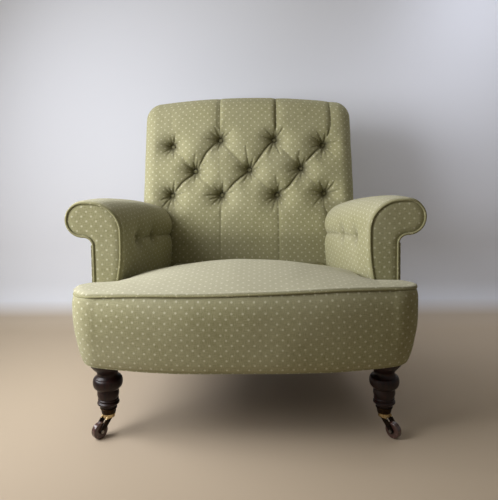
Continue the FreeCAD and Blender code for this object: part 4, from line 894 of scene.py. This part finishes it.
def seat_cushion():
    """Crowned seat: a grid over its plan, its edge rolled down to the piping and tucked in. Its rows
    run from the seam to the facings, and from there only its middle columns go on to the back."""
    seam = bow_line(BODY_HALF, 12.5 * MM, 361, WING_SPREAD)
    half = np.stack([np.abs(seam[: len(seam) // 2 + 1, 0]), seam[: len(seam) // 2 + 1, 1]], axis=-1)
    join, split = 0.80, 0.40
    join_mm, wing_x, roll = 303, 306 * MM, 16 * MM
    stop_y, rear = FACING_Y - 1.2 * MM, 152 * MM

    def plan(across, up):
        side = np.abs(across * 2 - 1)
        inner = side < join
        turned = np.clip((side - join) / (1 - join), 0.0, 1.0)
        wing, _ = along_line(half[half[:, 0] > 300 * MM][::-1], turned)
        bow = np.interp(np.minimum(side / join, 1.0) * join_mm * MM, half[::-1, 0], half[::-1, 1])
        start_x = np.where(inner, join_mm * MM * side / join, wing[:, 0])
        start_y = np.where(inner, bow, wing[:, 1])
        stop_x = np.where(inner, (inner_x(stop_y) - 2 * MM) * side / join,
                          wing_x + (BODY_HALF - wing_x) * turned)
        t = 1 - (1 - np.clip(up / split, 0.0, 1.0)) ** 1.6
        back = np.clip((up - split) / (1 - split), 0.0, 1.0)
        behind = up > split
        y = np.where(behind, stop_y + (rear - stop_y) * back, start_y + (stop_y - start_y) * t)
        narrow = (inner_x(y) - 2 * MM) * np.minimum(side / join, 1.0)
        x = np.where(behind, narrow, start_x + (stop_x - start_x) * t)
        return x * np.where(across < 0.5, -1.0, 1.0), y, behind

    def lay(across, up):
        x, y, behind = plan(across, up)
        z = seat_height(x, y)
        lip = near(nearest_point(x, y, seam[::3]), roll)
        low = seam_z(x, y)
        full = np.maximum(z, low + 7 * MM * lip ** 0.5)
        z = np.where(behind, z, np.where(lip > 0, low + (full - low) * np.sqrt(1 - lip ** 2), z))
        gap = near(inner_x(y) - np.abs(x), 26 * MM)
        sink = np.where(y > FACING_Y - 2 * MM, 14 * MM * (1 - np.sqrt(1 - gap ** 2 * 0.98)), 0.0)
        z = z - sink - near(150 * MM - y, 40 * MM) ** 2 * 10 * MM
        places = np.stack([x, y, z], axis=-1)
        places[:, 2] += unevenness(places * LEVEL, 3, (120, 2.2), (45, 0.6)) * (1 - lip)
        return places, np.stack([x, (y - FRONT) * 1.12 + 3 * MM], axis=-1)

    def downward(place):
        step = 30 * MM
        if place.y < FACING_Y:
            step = max(0.0, place.z - float(seam_z(place.x, place.y)) + 1 * MM)
        place.z -= step
        return place, (0.0, -step)

    def under(place):
        inward = 12 * MM if place.y < -0.3 else -2 * MM
        return Vector((place.x * 0.93, place.y + inward, 303 * MM)), (0.0, 0.0)

    mesh = cloth_grid(220, 190, lay)
    # Columns of the wings that end at the facings leave faces without area, which go.
    dead = [face for face in mesh.faces
            if all(vert.co.y > FACING_Y - 2.5 * MM for vert in face.verts) and face.calc_area() < 1e-10]
    bmesh.ops.delete(mesh, geom=dead, context="FACES")
    bmesh.ops.remove_doubles(mesh, verts=mesh.verts[:], dist=0.00005)
    border = pull_edges(mesh, open_edges(mesh), downward)
    border = pull_edges(mesh, border, under)
    bmesh.ops.holes_fill(mesh, edges=border, sides=0)
    # The seat gets the full painted light from above on its upward faces.
    piece = finish_piece(mesh, "seat_cushion", painted_top_light=1.0)
    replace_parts(piece, "seat_cover", "seat_stuffing")


def front_border():
    """Padded border: swells between its tacked bottom edge and the piping, round both corners."""
    steps, middle = 420, 210
    line = bow_line(BODY_HALF, 0.0, steps + 1)
    lengths = line_lengths(line)
    outward = -outward_of(line)

    def lay(across, up):
        up = up ** 1.5
        index = np.clip(np.rint(across * steps).astype(int), 0, steps)
        front_in = eased(up, BORDER_LEVELS[:, 0], BORDER_LEVELS[:, 1])
        side_in = eased(up, BORDER_LEVELS[:, 0], BORDER_LEVELS[:, 2])
        toward_side = np.abs(outward[index, 0])
        meets_arm = smooth_step((line[index, 1] - (FACING_Y - 45 * MM)) / (40 * MM))
        side_in = side_in * (1 - meets_arm) + np.maximum(side_in, 0.0) * meets_arm
        inset = (front_in * (1 - toward_side ** 1.5) + side_in * toward_side ** 1.5) * MM
        # A small roll where the cloth is turned in, with a groove over it.
        hem = (up * 164 - 1.6) / 1.5
        inset = inset - 2.2 * MM * np.exp(-hem ** 2) + 1.4 * MM * np.exp(-(hem - 2.4) ** 2)
        x = line[index, 0] - outward[index, 0] * inset
        y = line[index, 1] - outward[index, 1] * inset
        z = HEM_Z + (seam_z(x, y) - 3 * MM - HEM_Z) * up
        sag = 1.5 * MM * np.sin(across * math.pi * 5) * (1 - up) ** 6
        places = np.stack([x, y, z + sag], axis=-1)
        soft = unevenness(places, 5, (90, 1.5), (35, 0.4))
        places[:, 0] += outward[index, 0] * soft
        places[:, 1] += outward[index, 1] * soft
        return places, np.stack([lengths[index] - lengths[middle], z * 1.04 + 6 * MM], axis=-1)

    def inward(place):
        nearest = np.argmin(np.hypot(line[:, 0] - place.x, line[:, 1] - place.y))
        place.x -= outward[nearest, 0] * 14 * MM
        place.y -= outward[nearest, 1] * 14 * MM
        return place, (0.0, -14 * MM)

    mesh = cloth_grid(steps, 84, lay)
    pull_edges(mesh, open_edges(mesh), inward)
    # The border gets half the painted light from above on its upward faces.
    piece = finish_piece(mesh, "front_border_pad", painted_top_light=0.5)
    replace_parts(piece, "front_border", "border_stuffing")


def piping_cord(name, points, radius, node):
    """A covered cord along points, made a mesh."""
    curve = bpy.data.curves.new(name, "CURVE")
    curve.dimensions = "3D"
    curve.bevel_depth = radius
    curve.bevel_resolution = 5
    curve.use_fill_caps = True
    spline = curve.splines.new("POLY")
    spline.points.add(len(points) - 1)
    for item, point in zip(spline.points, points):
        item.co = (*point, 1.0)
    draft = show(name + "_draft", curve)
    bpy.context.view_layer.update()
    data = bpy.data.meshes.new_from_object(draft.evaluated_get(bpy.context.evaluated_depsgraph_get()))
    bpy.data.objects.remove(draft)
    data.name = name
    data.shade_smooth()
    data.materials.clear()
    data.materials.append(PIPING)
    piece = show(name, data)
    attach(piece, "root")
    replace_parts(piece, node)


def seat_cord():
    line = bow_line(BODY_HALF - 1 * MM, 12 * MM, 260, WING_SPREAD)
    points = [(x, y, float(seam_z(x, y)) - 1.5 * MM) for x, y in line]
    piping_cord("seat_piping_cord", points, 2.5 * MM, "seat_piping")


# ---------------------------------------------------------------- arms

NECK_RADIUS = 19 * MM
ARM_TUFTS = (-77 * MM, 25 * MM)
ARM_TUFT_DROP = 110 * MM
ARM_TUFT_DEPTH = 19 * MM


def arc_points(cx, cz, radius, first, last, count):
    angles = np.radians(np.linspace(first, last, count))
    return np.stack([cx + radius * np.cos(angles), cz + radius * np.sin(angles)], axis=-1)


def arm_section(y, foot=ARM_FOOT):
    """Outline of the arm at a depth y, from the foot of its inner face, over the scroll, to the
    neck under it."""
    y = float(y)
    ahead = 1 - float(smooth_step((y - ARM_FRONT) / (30 * MM)))
    top, radius = float(arm_top(y)), float(scroll_radius(y))
    inner = min(float(inner_x(y)), 306 * MM) - 3 * MM * ahead
    cx, cz = float(outer_x(y)) + NECK_RADIUS, top - radius
    crown, shoulder = 220 * MM, 72 * MM + 8 * MM * ahead
    reach = crown - shoulder
    shoulder_x = inner + shoulder
    side_drop = crown - math.sqrt(reach ** 2 - (cx - shoulder_x) ** 2)
    touch = math.degrees(math.asin((cx - shoulder_x) / reach))
    heights = np.linspace(foot, top - side_drop, 30)
    flare = 8 * MM * np.clip((430 * MM - heights) / (85 * MM), 0.0, 1.3) ** 2
    flare = flare * (1 - float(smooth_step((y - ARM_FRONT) / (90 * MM))))
    return np.concatenate([
        np.stack([inner + flare, heights], axis=-1),
        arc_points(shoulder_x, top - side_drop, shoulder, 180, 90 + touch, 24)[1:],
        arc_points(cx, top - crown, crown, 90 + touch, 90, 14)[1:],
        arc_points(cx, cz, radius, 90, -90, 40)[1:],
        arc_points(cx, cz - radius - NECK_RADIUS, NECK_RADIUS, 90, 180, 12)[1:]])


def arm_dent(y, heights):
    """Depth of the two tufts on the inside of an arm, and of the crease that joins them."""
    crease_z = float(arm_top(y)) - ARM_TUFT_DROP
    depth = np.zeros(heights.shape)
    for tuft_y in ARM_TUFTS:
        away = np.hypot(y - tuft_y, heights - (float(arm_top(tuft_y)) - ARM_TUFT_DROP))
        dent = ARM_TUFT_DEPTH * near(np.maximum(away - 5 * MM, 0), 58 * MM) ** TUFT_CURVE
        depth = np.maximum(depth, dent)
    fold = float(smooth_step((y + 100 * MM) / (50 * MM)))
    depth = np.maximum(depth, 8 * MM * fold * near(np.abs(heights - crease_z), 40 * MM) ** 2.4)
    return depth + 2.0 * MM * fold * bell(heights - crease_z, 2.6 * MM)


def lay_arm(across, up):
    """Skin of the right arm; across runs round the section and up runs from front to rear."""
    span, roll = 505 * MM, 7 * MM
    turn = roll * math.pi / 2
    places, flat = np.zeros((len(up), 3)), np.zeros((len(up), 3))
    for level in np.unique(np.round(up, 6)):
        chosen = np.abs(up - level) < 1e-5
        travel = level * (span + turn)
        y, inset = ARM_FRONT + roll + (travel - turn), 0.0
        if travel < turn:
            y = ARM_FRONT + roll * (1 - math.cos(travel / roll))
            inset = roll * (1 - math.sin(travel / roll))
        section = arm_section(y)
        wall = section[-1, 0] - 3 * MM
        section = np.concatenate([section, [[wall, section[-1, 1]], [wall, section[0, 1]], section[0]]])
        line, done = along_line(section, across[chosen])
        out = outward_of(section)
        shares = line_lengths(section) / line_lengths(section)[-1]
        out_x = np.interp(across[chosen], shares, out[:, 0])
        out_z = np.interp(across[chosen], shares, out[:, 1])
        inside = (out_x < -0.55) & (line[:, 0] < 340 * MM)
        depth = np.where(inside, arm_dent(y, line[:, 1]), 0.0)
        puff = 3.5 * MM * np.sin(np.clip((line[:, 1] - ARM_FOOT) / (200 * MM), 0, 1) * math.pi) * inside
        places[chosen, 0] = line[:, 0] - out_x * inset
        places[chosen, 0] += depth - puff * (1 if inset == 0 else 0.3)
        places[chosen, 1] = y
        places[chosen, 2] = line[:, 1] - out_z * inset
        flat[chosen, 0] = y
        flat[chosen, 1] = done
        # Painted shade in the tuft dents and the crease, by their depth.
        flat[chosen, 2] = np.clip(depth / ARM_TUFT_DEPTH, 0.0, 1.0) ** 1.5 * 0.8
    soft = unevenness(places, 7, (80, 1.4), (30, 0.45))
    places[:, 0] -= soft * 0.6
    places[:, 2] += soft * 0.5
    return places, flat


def arm_pad(side, name):
    """The arm's skin, cut off and closed just inside the outside back."""
    mesh = cloth_grid(270, 190, lay_arm)
    bmesh.ops.remove_doubles(mesh, verts=mesh.verts[:], dist=0.00002)
    bmesh.ops.bisect_plane(mesh, geom=mesh.verts[:] + mesh.edges[:] + mesh.faces[:], dist=1e-6,
                           plane_co=Vector((0.0, rear_y(0.0) - 6 * MM, 0.0)),
                           plane_no=Vector((0.0, 1.0, -math.tan(REAR_LEAN))).normalized(), clear_outer=True)
    bmesh.ops.holes_fill(mesh, edges=open_edges(mesh), sides=0)
    if side < 0:
        mirror_mesh(mesh)
    # The arm gets painted light from above on its upward faces, at 0.6.
    piece = finish_piece(mesh, "arm_pad_" + name, sharp=60, painted_top_light=0.6)
    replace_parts(piece, "arm_cover_" + name, "arm_stuffing_" + name)


def arm_buttons():
    for side, name in SIDES:
        for number, y in enumerate(ARM_TUFTS, 1):
            x = (float(inner_x(y)) + 16.5 * MM) * side
            z = float(arm_top(y)) - ARM_TUFT_DROP
            piece = covered_button("arm_button_%s_%d" % (name, number), (x, y, z), (-side, -0.18, 0.0))
            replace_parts(piece, "arm_buttons")


def facing_edges():
    """Inner and outer edge of the facing, from the seat up to the top of the scroll."""
    foot = 300 * MM
    section = arm_section(ARM_FRONT, foot)
    crest = int(np.argmax(section[:, 1]))
    outer = section[crest:][::-1]
    straight = np.stack([np.full(20, outer[0, 0]), np.linspace(foot, outer[0, 1], 20)], axis=-1)
    return section[:crest + 1], np.concatenate([straight[:-1], outer])


def facing_panel(side, name):
    """Softly padded panel on the front of an arm. Rows of its grid join points of equal standing on
    the inner and the outer edge, so that they fan out round the scroll."""
    inner, outer = facing_edges()
    inset = 4.5 * MM
    inner, outer = inner - outward_of(inner) * inset, outer + outward_of(outer) * inset
    edge = np.concatenate([inner, outer[::-1]])
    neck = float(arm_top(ARM_FRONT)) - 94 * MM - NECK_RADIUS
    keys = np.array([0.0, 0.42, 0.60, 1.0])

    def shares_of(line, first, second):
        lengths = line_lengths(line)
        return np.array([0.0, lengths[first] / lengths[-1], lengths[second] / lengths[-1], 1.0])

    def index_at(line, height):
        return int(np.argmin(np.abs(line[:, 1] - height)))

    low = index_at(outer, neck)
    inner_keys = shares_of(inner, index_at(inner, neck), index_at(inner, neck + 34 * MM))
    outer_keys = shares_of(outer, low, low + 11)

    def lay(across, up):
        first, _ = along_line(inner, np.interp(up, keys, inner_keys))
        second, _ = along_line(outer, np.interp(up, keys, outer_keys))
        spot = first + (second - first) * across[:, None]
        rise = 1 - near(nearest_point(spot[:, 0], spot[:, 1], edge), 20 * MM) ** 2.4
        places = np.stack([spot[:, 0], FACING_Y + 5.5 * MM - 5.2 * MM * rise, spot[:, 1]], axis=-1)
        places[:, 1] += unevenness(places, 9, (40, 0.7)) * rise
        return places, spot + np.array([5 * MM, 3 * MM])

    mesh = cloth_grid(60, 130, lay)
    rim = pull_edges(mesh, open_edges(mesh),
                     lambda place: (Vector((place.x, ARM_FRONT - 0.5 * MM, place.z)), (0.0, 0.0)))
    bmesh.ops.holes_fill(mesh, edges=rim, sides=0)
    if side < 0:
        mirror_mesh(mesh)
    piece = finish_piece(mesh, "facing_panel_" + name)
    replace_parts(piece, "arm_facing_" + name)


def facing_cord(side, name):
    inner, outer = facing_edges()
    line = np.concatenate([inner, outer[::-1][1:]])
    out = np.concatenate([outward_of(inner), -outward_of(outer)[::-1][1:]])
    line, _ = along_line(line - out * 5.2 * MM, np.linspace(0.0, 1.0, 240))
    points = [(x * side, FACING_Y + 2.0 * MM, z) for x, z in line]
    piping_cord("facing_piping_cord_" + name, points, 3.0 * MM, "facing_piping")


# ---------------------------------------------------------------- outside covers

PANEL_CLOTH = 1.6 * MM


def hem_tuck(z, power):
    """How far the outside covers turn in under the chair near their tacked edge."""
    return 25 * MM * np.clip((235 * MM - z) / (58 * MM), 0.0, 1.0) ** power


def outside_arm(side, name):
    """Flat panel over the outside of the arm frame, from the neck to its tacked bottom edge. Its
    rear margin turns in behind the outside back."""
    start, length, turned = ARM_FRONT - 5 * MM, 515 * MM, 0.97

    def rise(y, up):
        neck = arm_top(y) - 2 * scroll_radius(y) - 17 * MM
        return HEM_Z + (neck - HEM_Z) * up

    def lay(across, up):
        reach = np.minimum(across / turned, 1.0)
        margin = 14 * MM * np.clip((across - turned) / 0.03, 0.0, 1.0)
        z = rise(start + reach * length, up)
        rear = rear_y(z) - 3.5 * MM - hem_tuck(z, 1.6)
        y = start + reach * (rear - start)
        z = rise(y, up)
        places = np.stack([outer_x(y) - hem_tuck(z, 1.8) - margin, y, z], axis=-1)
        middle = from_edges(across, up)
        places[:, 0] += unevenness(places, 10, (110, 1.2)) * middle - 1.0 * MM * middle
        return places, np.stack([y + margin, z], axis=-1)

    mesh = cloth_grid(130, 64, lay)
    if side < 0:
        mirror_mesh(mesh)
    piece = finish_piece(mesh, "outside_arm_panel_" + name)
    give_thickness(piece, PANEL_CLOTH, -1.0)
    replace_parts(piece, "outside_arm_" + name)


def outside_back():
    """Flat panel over the back frame, with rounded top corners and its bottom edge tacked under."""
    foot, top, corner = 178 * MM, BACK_TOP - 9 * MM, 45 * MM

    def lay(across, up):
        z = foot + (top - foot) * up
        half = np.minimum(BACK_HALF - 3 * MM, outer_x(rear_y(z)) + 1 * MM - hem_tuck(z, 1.8))
        x = rounded_half(z, top, half, corner) * (across * 2 - 1)
        z = z - top_drop(x, z)
        places = np.stack([x, rear_y(z) - hem_tuck(z, 1.6), z], axis=-1)
        middle = from_edges(across, up)
        places[:, 1] += unevenness(places, 11, (130, 1.4)) * middle - 1.5 * MM * middle
        return places, np.stack([x, z / math.cos(REAR_LEAN)], axis=-1)

    piece = finish_piece(cloth_grid(120, 120, lay), "outside_back_panel")
    give_thickness(piece, PANEL_CLOTH, -1.0)
    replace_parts(piece, "outside_back")


def back_cord():
    """Piping up one side of the back, over its top and down the other side."""
    half, corner, radius = BACK_HALF, 48 * MM, 2200 * MM
    top = BACK_TOP - 8 * MM
    corner_x, corner_drop, touch = bow_corner(half, radius, corner)
    right = [(half, drop) for drop in np.linspace(585 * MM, corner_drop + 4 * MM, 60)]
    right += [(corner_x + corner * math.cos(angle), corner_drop - corner * math.sin(angle))
              for angle in np.linspace(0.0, math.pi / 2 - touch, 24)]
    right += [(radius * math.sin(angle), radius - radius * math.cos(angle))
              for angle in np.linspace(touch, 0.0, 30)[1:]]
    line = right + [(-x, drop) for x, drop in right[::-1][1:]]
    points = [(x, rear_y(top - drop) - 1.5 * MM, top - drop) for x, drop in line]
    piping_cord("back_piping_cord", points, 3.8 * MM, "back_piping")


# ---------------------------------------------------------------- webbing and sheets inside

WEB_WIDTH = 50 * MM
WEB_RISE = 0.8 * MM
WEB_CLOTH = 1.1 * MM
SEAT_WEB_Z = 183.5 * MM
ROW_STEP = 95 * MM
COLUMN_STEP = 115 * MM


def web_strips(name, node, lines):
    """Jute strips as one piece. Each line gives the middle of a strip at a share of its length, and
    the direction across it."""
    mesh = bmesh.new()
    for middle, sideways in lines:
        for vert in bmesh.ops.create_grid(mesh, x_segments=96, y_segments=5, size=0.5)["verts"]:
            vert.co = Vector(middle(vert.co.x + 0.5)) + Vector(sideways) * (vert.co.y * WEB_WIDTH)
    piece = finish_piece(mesh, name, JUTE)
    give_thickness(piece, WEB_CLOTH)
    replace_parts(piece, node)


def seat_webbing():
    """Strips over and under one another, as they are woven and tacked under the seat."""
    rows = [(-226 + 95 * number) * MM for number in range(5)]
    lines = []
    for number, y in enumerate(rows):
        def across(share, y=y, number=number):
            x = (share - 0.5) * 654 * MM
            return x, y, SEAT_WEB_Z + WEB_RISE * math.cos(math.pi * (x / COLUMN_STEP + number))
        lines.append((across, (0.0, 1.0, 0.0)))
    for number in range(5):
        def along(share, x=COLUMN_STEP * (number - 2), number=number):
            y = -334 * MM + share * 559 * MM
            return x, y, SEAT_WEB_Z - WEB_RISE * math.cos(math.pi * ((y - rows[0]) / ROW_STEP + number))
        lines.append((along, (1.0, 0.0, 0.0)))
    web_strips("seat_webbing_strips", "seat_webbing", lines)


def back_webbing():
    lines = []
    for number in range(-2, 3):
        def upward(share, x=COLUMN_STEP * number, number=number):
            z = 330 * MM + share * 440 * MM
            return x, rear_y(z) - 40.75 * MM + 0.5 * MM * math.sin(share * 9 + number), z
        lines.append((upward, (1.0, 0.0, 0.0)))
    web_strips("back_webbing_strips", "back_webbing", lines)


def hessian_sheet():
    """Hessian pulled over the springs and tacked to the tops of the rails."""
    front_half, rear_half = 311 * MM, float(inner_x(209.5 * MM))

    def lay(across, up):
        y = -302 * MM + up * 511.5 * MM
        x = (across * 2 - 1) * (front_half + (rear_half - front_half) * up)
        slope = np.minimum((230 * MM - np.abs(x)) / (34 * MM),
                           np.minimum((y + 300 * MM) / (17 * MM), (116 * MM - y) / (17 * MM)))
        z = 265.9 * MM + 35 * MM * smooth_step(slope)
        places = np.stack([x, y, z], axis=-1)
        places[:, 2] += unevenness(places * LEVEL, 12, (60, 0.3))
        return places, np.stack([x, y], axis=-1)

    piece = finish_piece(cloth_grid(110, 100, lay), "hessian_over_springs", HESSIAN)
    give_thickness(piece, 0.8 * MM)
    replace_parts(piece, "seat_hessian")


def bottom_sheet():
    """Black lining tacked under the seat, cut out round the front legs, with a little sag."""
    notch_x, notch_y, notch_side, notch_rest = 273 * MM, -253 * MM, 0.8, 0.2
    low_y, high_y, front_half, rear_half = -334 * MM, 236.8 * MM, 347 * MM, 285 * MM

    def lay(across, up):
        side = np.abs(across * 2 - 1)
        y = np.interp(up, (0.0, 0.15, 1.0), (low_y, notch_y, high_y))
        edge = np.interp(y, (notch_y, 204 * MM), (front_half, rear_half))
        x = np.interp(side, (0.0, notch_side, 1.0), (0.0, notch_x, front_half))
        x = np.where(side > notch_side, notch_x + (edge - notch_x) * (side - notch_side) / notch_rest, x)
        x = x * np.sign(across - 0.5)
        middle = from_edges(across, up)
        ends = np.exp(-np.minimum(y - low_y, high_y - y) / (22 * MM))
        pucker = 0.5 * MM * np.cos(x / (70 * MM) * math.tau) * ends
        places = np.stack([x, y, 180.9 * MM - 2.6 * MM * middle - pucker], axis=-1)
        places[:, 2] += unevenness(places * LEVEL, 13, (80, 0.5)) * middle
        return places, np.stack([x, y], axis=-1)

    mesh = cloth_grid(120, 100, lay)
    corners = [face for face in mesh.faces
               if abs(face.calc_center_median().x) > notch_x and face.calc_center_median().y < notch_y]
    bmesh.ops.delete(mesh, geom=corners, context="FACES")
    piece = finish_piece(mesh, "bottom_lining", LINING)
    give_thickness(piece, 0.7 * MM)
    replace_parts(piece, "bottom_cloth")


# ---------------------------------------------------------------- legs

LEG_PROFILE = [
    # height and radius in millimetres, from the castor up; a repeated height is a sharp step
    (66.3, 0.0), (66.3, 16.6), (67.6, 18.0), (71.0, 18.3), (72.5, 20.5), (74.0, 23.6), (76.2, 25.4),
    (78.6, 25.2), (80.8, 23.0), (82.0, 21.4), (83.6, 21.6), (84.4, 23.2), (86.0, 23.9), (87.4, 23.0),
    (88.0, 22.4), (92.0, 23.9), (98.0, 25.2), (103.0, 24.9), (107.5, 24.0), (109.5, 23.8), (110.3, 26.2),
    (112.8, 28.8), (116.0, 31.6), (120.0, 33.4), (125.0, 34.2), (130.0, 34.0), (134.5, 32.9),
    (137.4, 31.0), (138.0, 29.2), (141.0, 26.2), (144.5, 23.8), (148.0, 23.6), (152.0, 25.4),
    (156.5, 29.0), (161.5, 33.4), (166.5, 37.4), (170.0, 39.4), (172.0, 40.4), (176.0, 40.6),
    (178.0, 40.0), (178.4, 38.0), (178.4, 0.0)]


def front_leg(side, name):
    """Turned leg: its profile is spun round, and its square block carries on up inside the frame."""
    leg_x, leg_y = 321 * MM, -302 * MM
    block_size, block_z, chamfer = (48 * MM, 48 * MM, 86 * MM), 221 * MM, 8 * MM
    mesh = bmesh.new()
    verts = [mesh.verts.new((radius * MM, 0.0, height * MM)) for height, radius in LEG_PROFILE]
    edges = [mesh.edges.new(pair) for pair in zip(verts, verts[1:])]
    bmesh.ops.subdivide_edges(mesh, edges=edges, cuts=1, smooth=0.0)
    bmesh.ops.spin(mesh, geom=mesh.verts[:] + mesh.edges[:], cent=(0, 0, 0), axis=(0, 0, 1),
                   angle=math.tau, steps=72, use_merge=True, dvec=(0, 0, 0))
    block = bmesh.ops.create_cube(mesh, size=1.0)["verts"]
    bmesh.ops.scale(mesh, vec=block_size, verts=block)
    bmesh.ops.translate(mesh, vec=(0.0, 0.0, block_z), verts=block)
    uprights = [edge for edge in {e for v in block for e in v.link_edges}
                if abs(edge.verts[0].co.z - edge.verts[1].co.z) > 1 * MM]
    bmesh.ops.bevel(mesh, geom=uprights, offset=chamfer, segments=1, profile=0.5, affect="EDGES",
                    material=-1)
    bmesh.ops.translate(mesh, vec=(leg_x * side, leg_y, 0.0), verts=mesh.verts[:])
    piece = finish_piece(mesh, "turned_leg_" + name, POLISHED, sharp=40)
    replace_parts(piece, "front_leg_" + name)


def dress_frame():
    """Materials of the frame's own nodes."""
    finishes = {
        "polished_walnut": POLISHED, "beech_frame": BEECH, "lacquered_brass": CUP_BRASS,
        "blackened_iron": HORN_METAL, "steel_pin": STEEL, "brown_glazed_ceramic": STONEWARE,
        "spring_steel": STEEL, "blued_tacks": TACKS, "jute_webbing": JUTE, "hessian": HESSIAN,
        "hair_stuffing": HESSIAN, "black_cotton": LINING, "dotted_cotton": COTTON,
        "piping_cloth": PIPING}
    slots = {part["node"]: part["material_slot"] for part in frame["record"]["subparts"]}
    for name, node in frame["nodes"].items():
        if not node.material_slots:
            node.data.materials.append(None)
        for slot in node.material_slots:
            slot.material = finishes[slots[name]]


set_camera()
set_room()
set_light()
dress_frame()
inside_back()
back_buttons()
seat_cushion()
front_border()
seat_cord()
for hand in SIDES:
    arm_pad(*hand)
    facing_panel(*hand)
    facing_cord(*hand)
    outside_arm(*hand)
    front_leg(*hand)
arm_buttons()
outside_back()
back_cord()
seat_webbing()
back_webbing()
hessian_sheet()
bottom_sheet()

bpy.context.scene.view_settings.view_transform = "Standard"
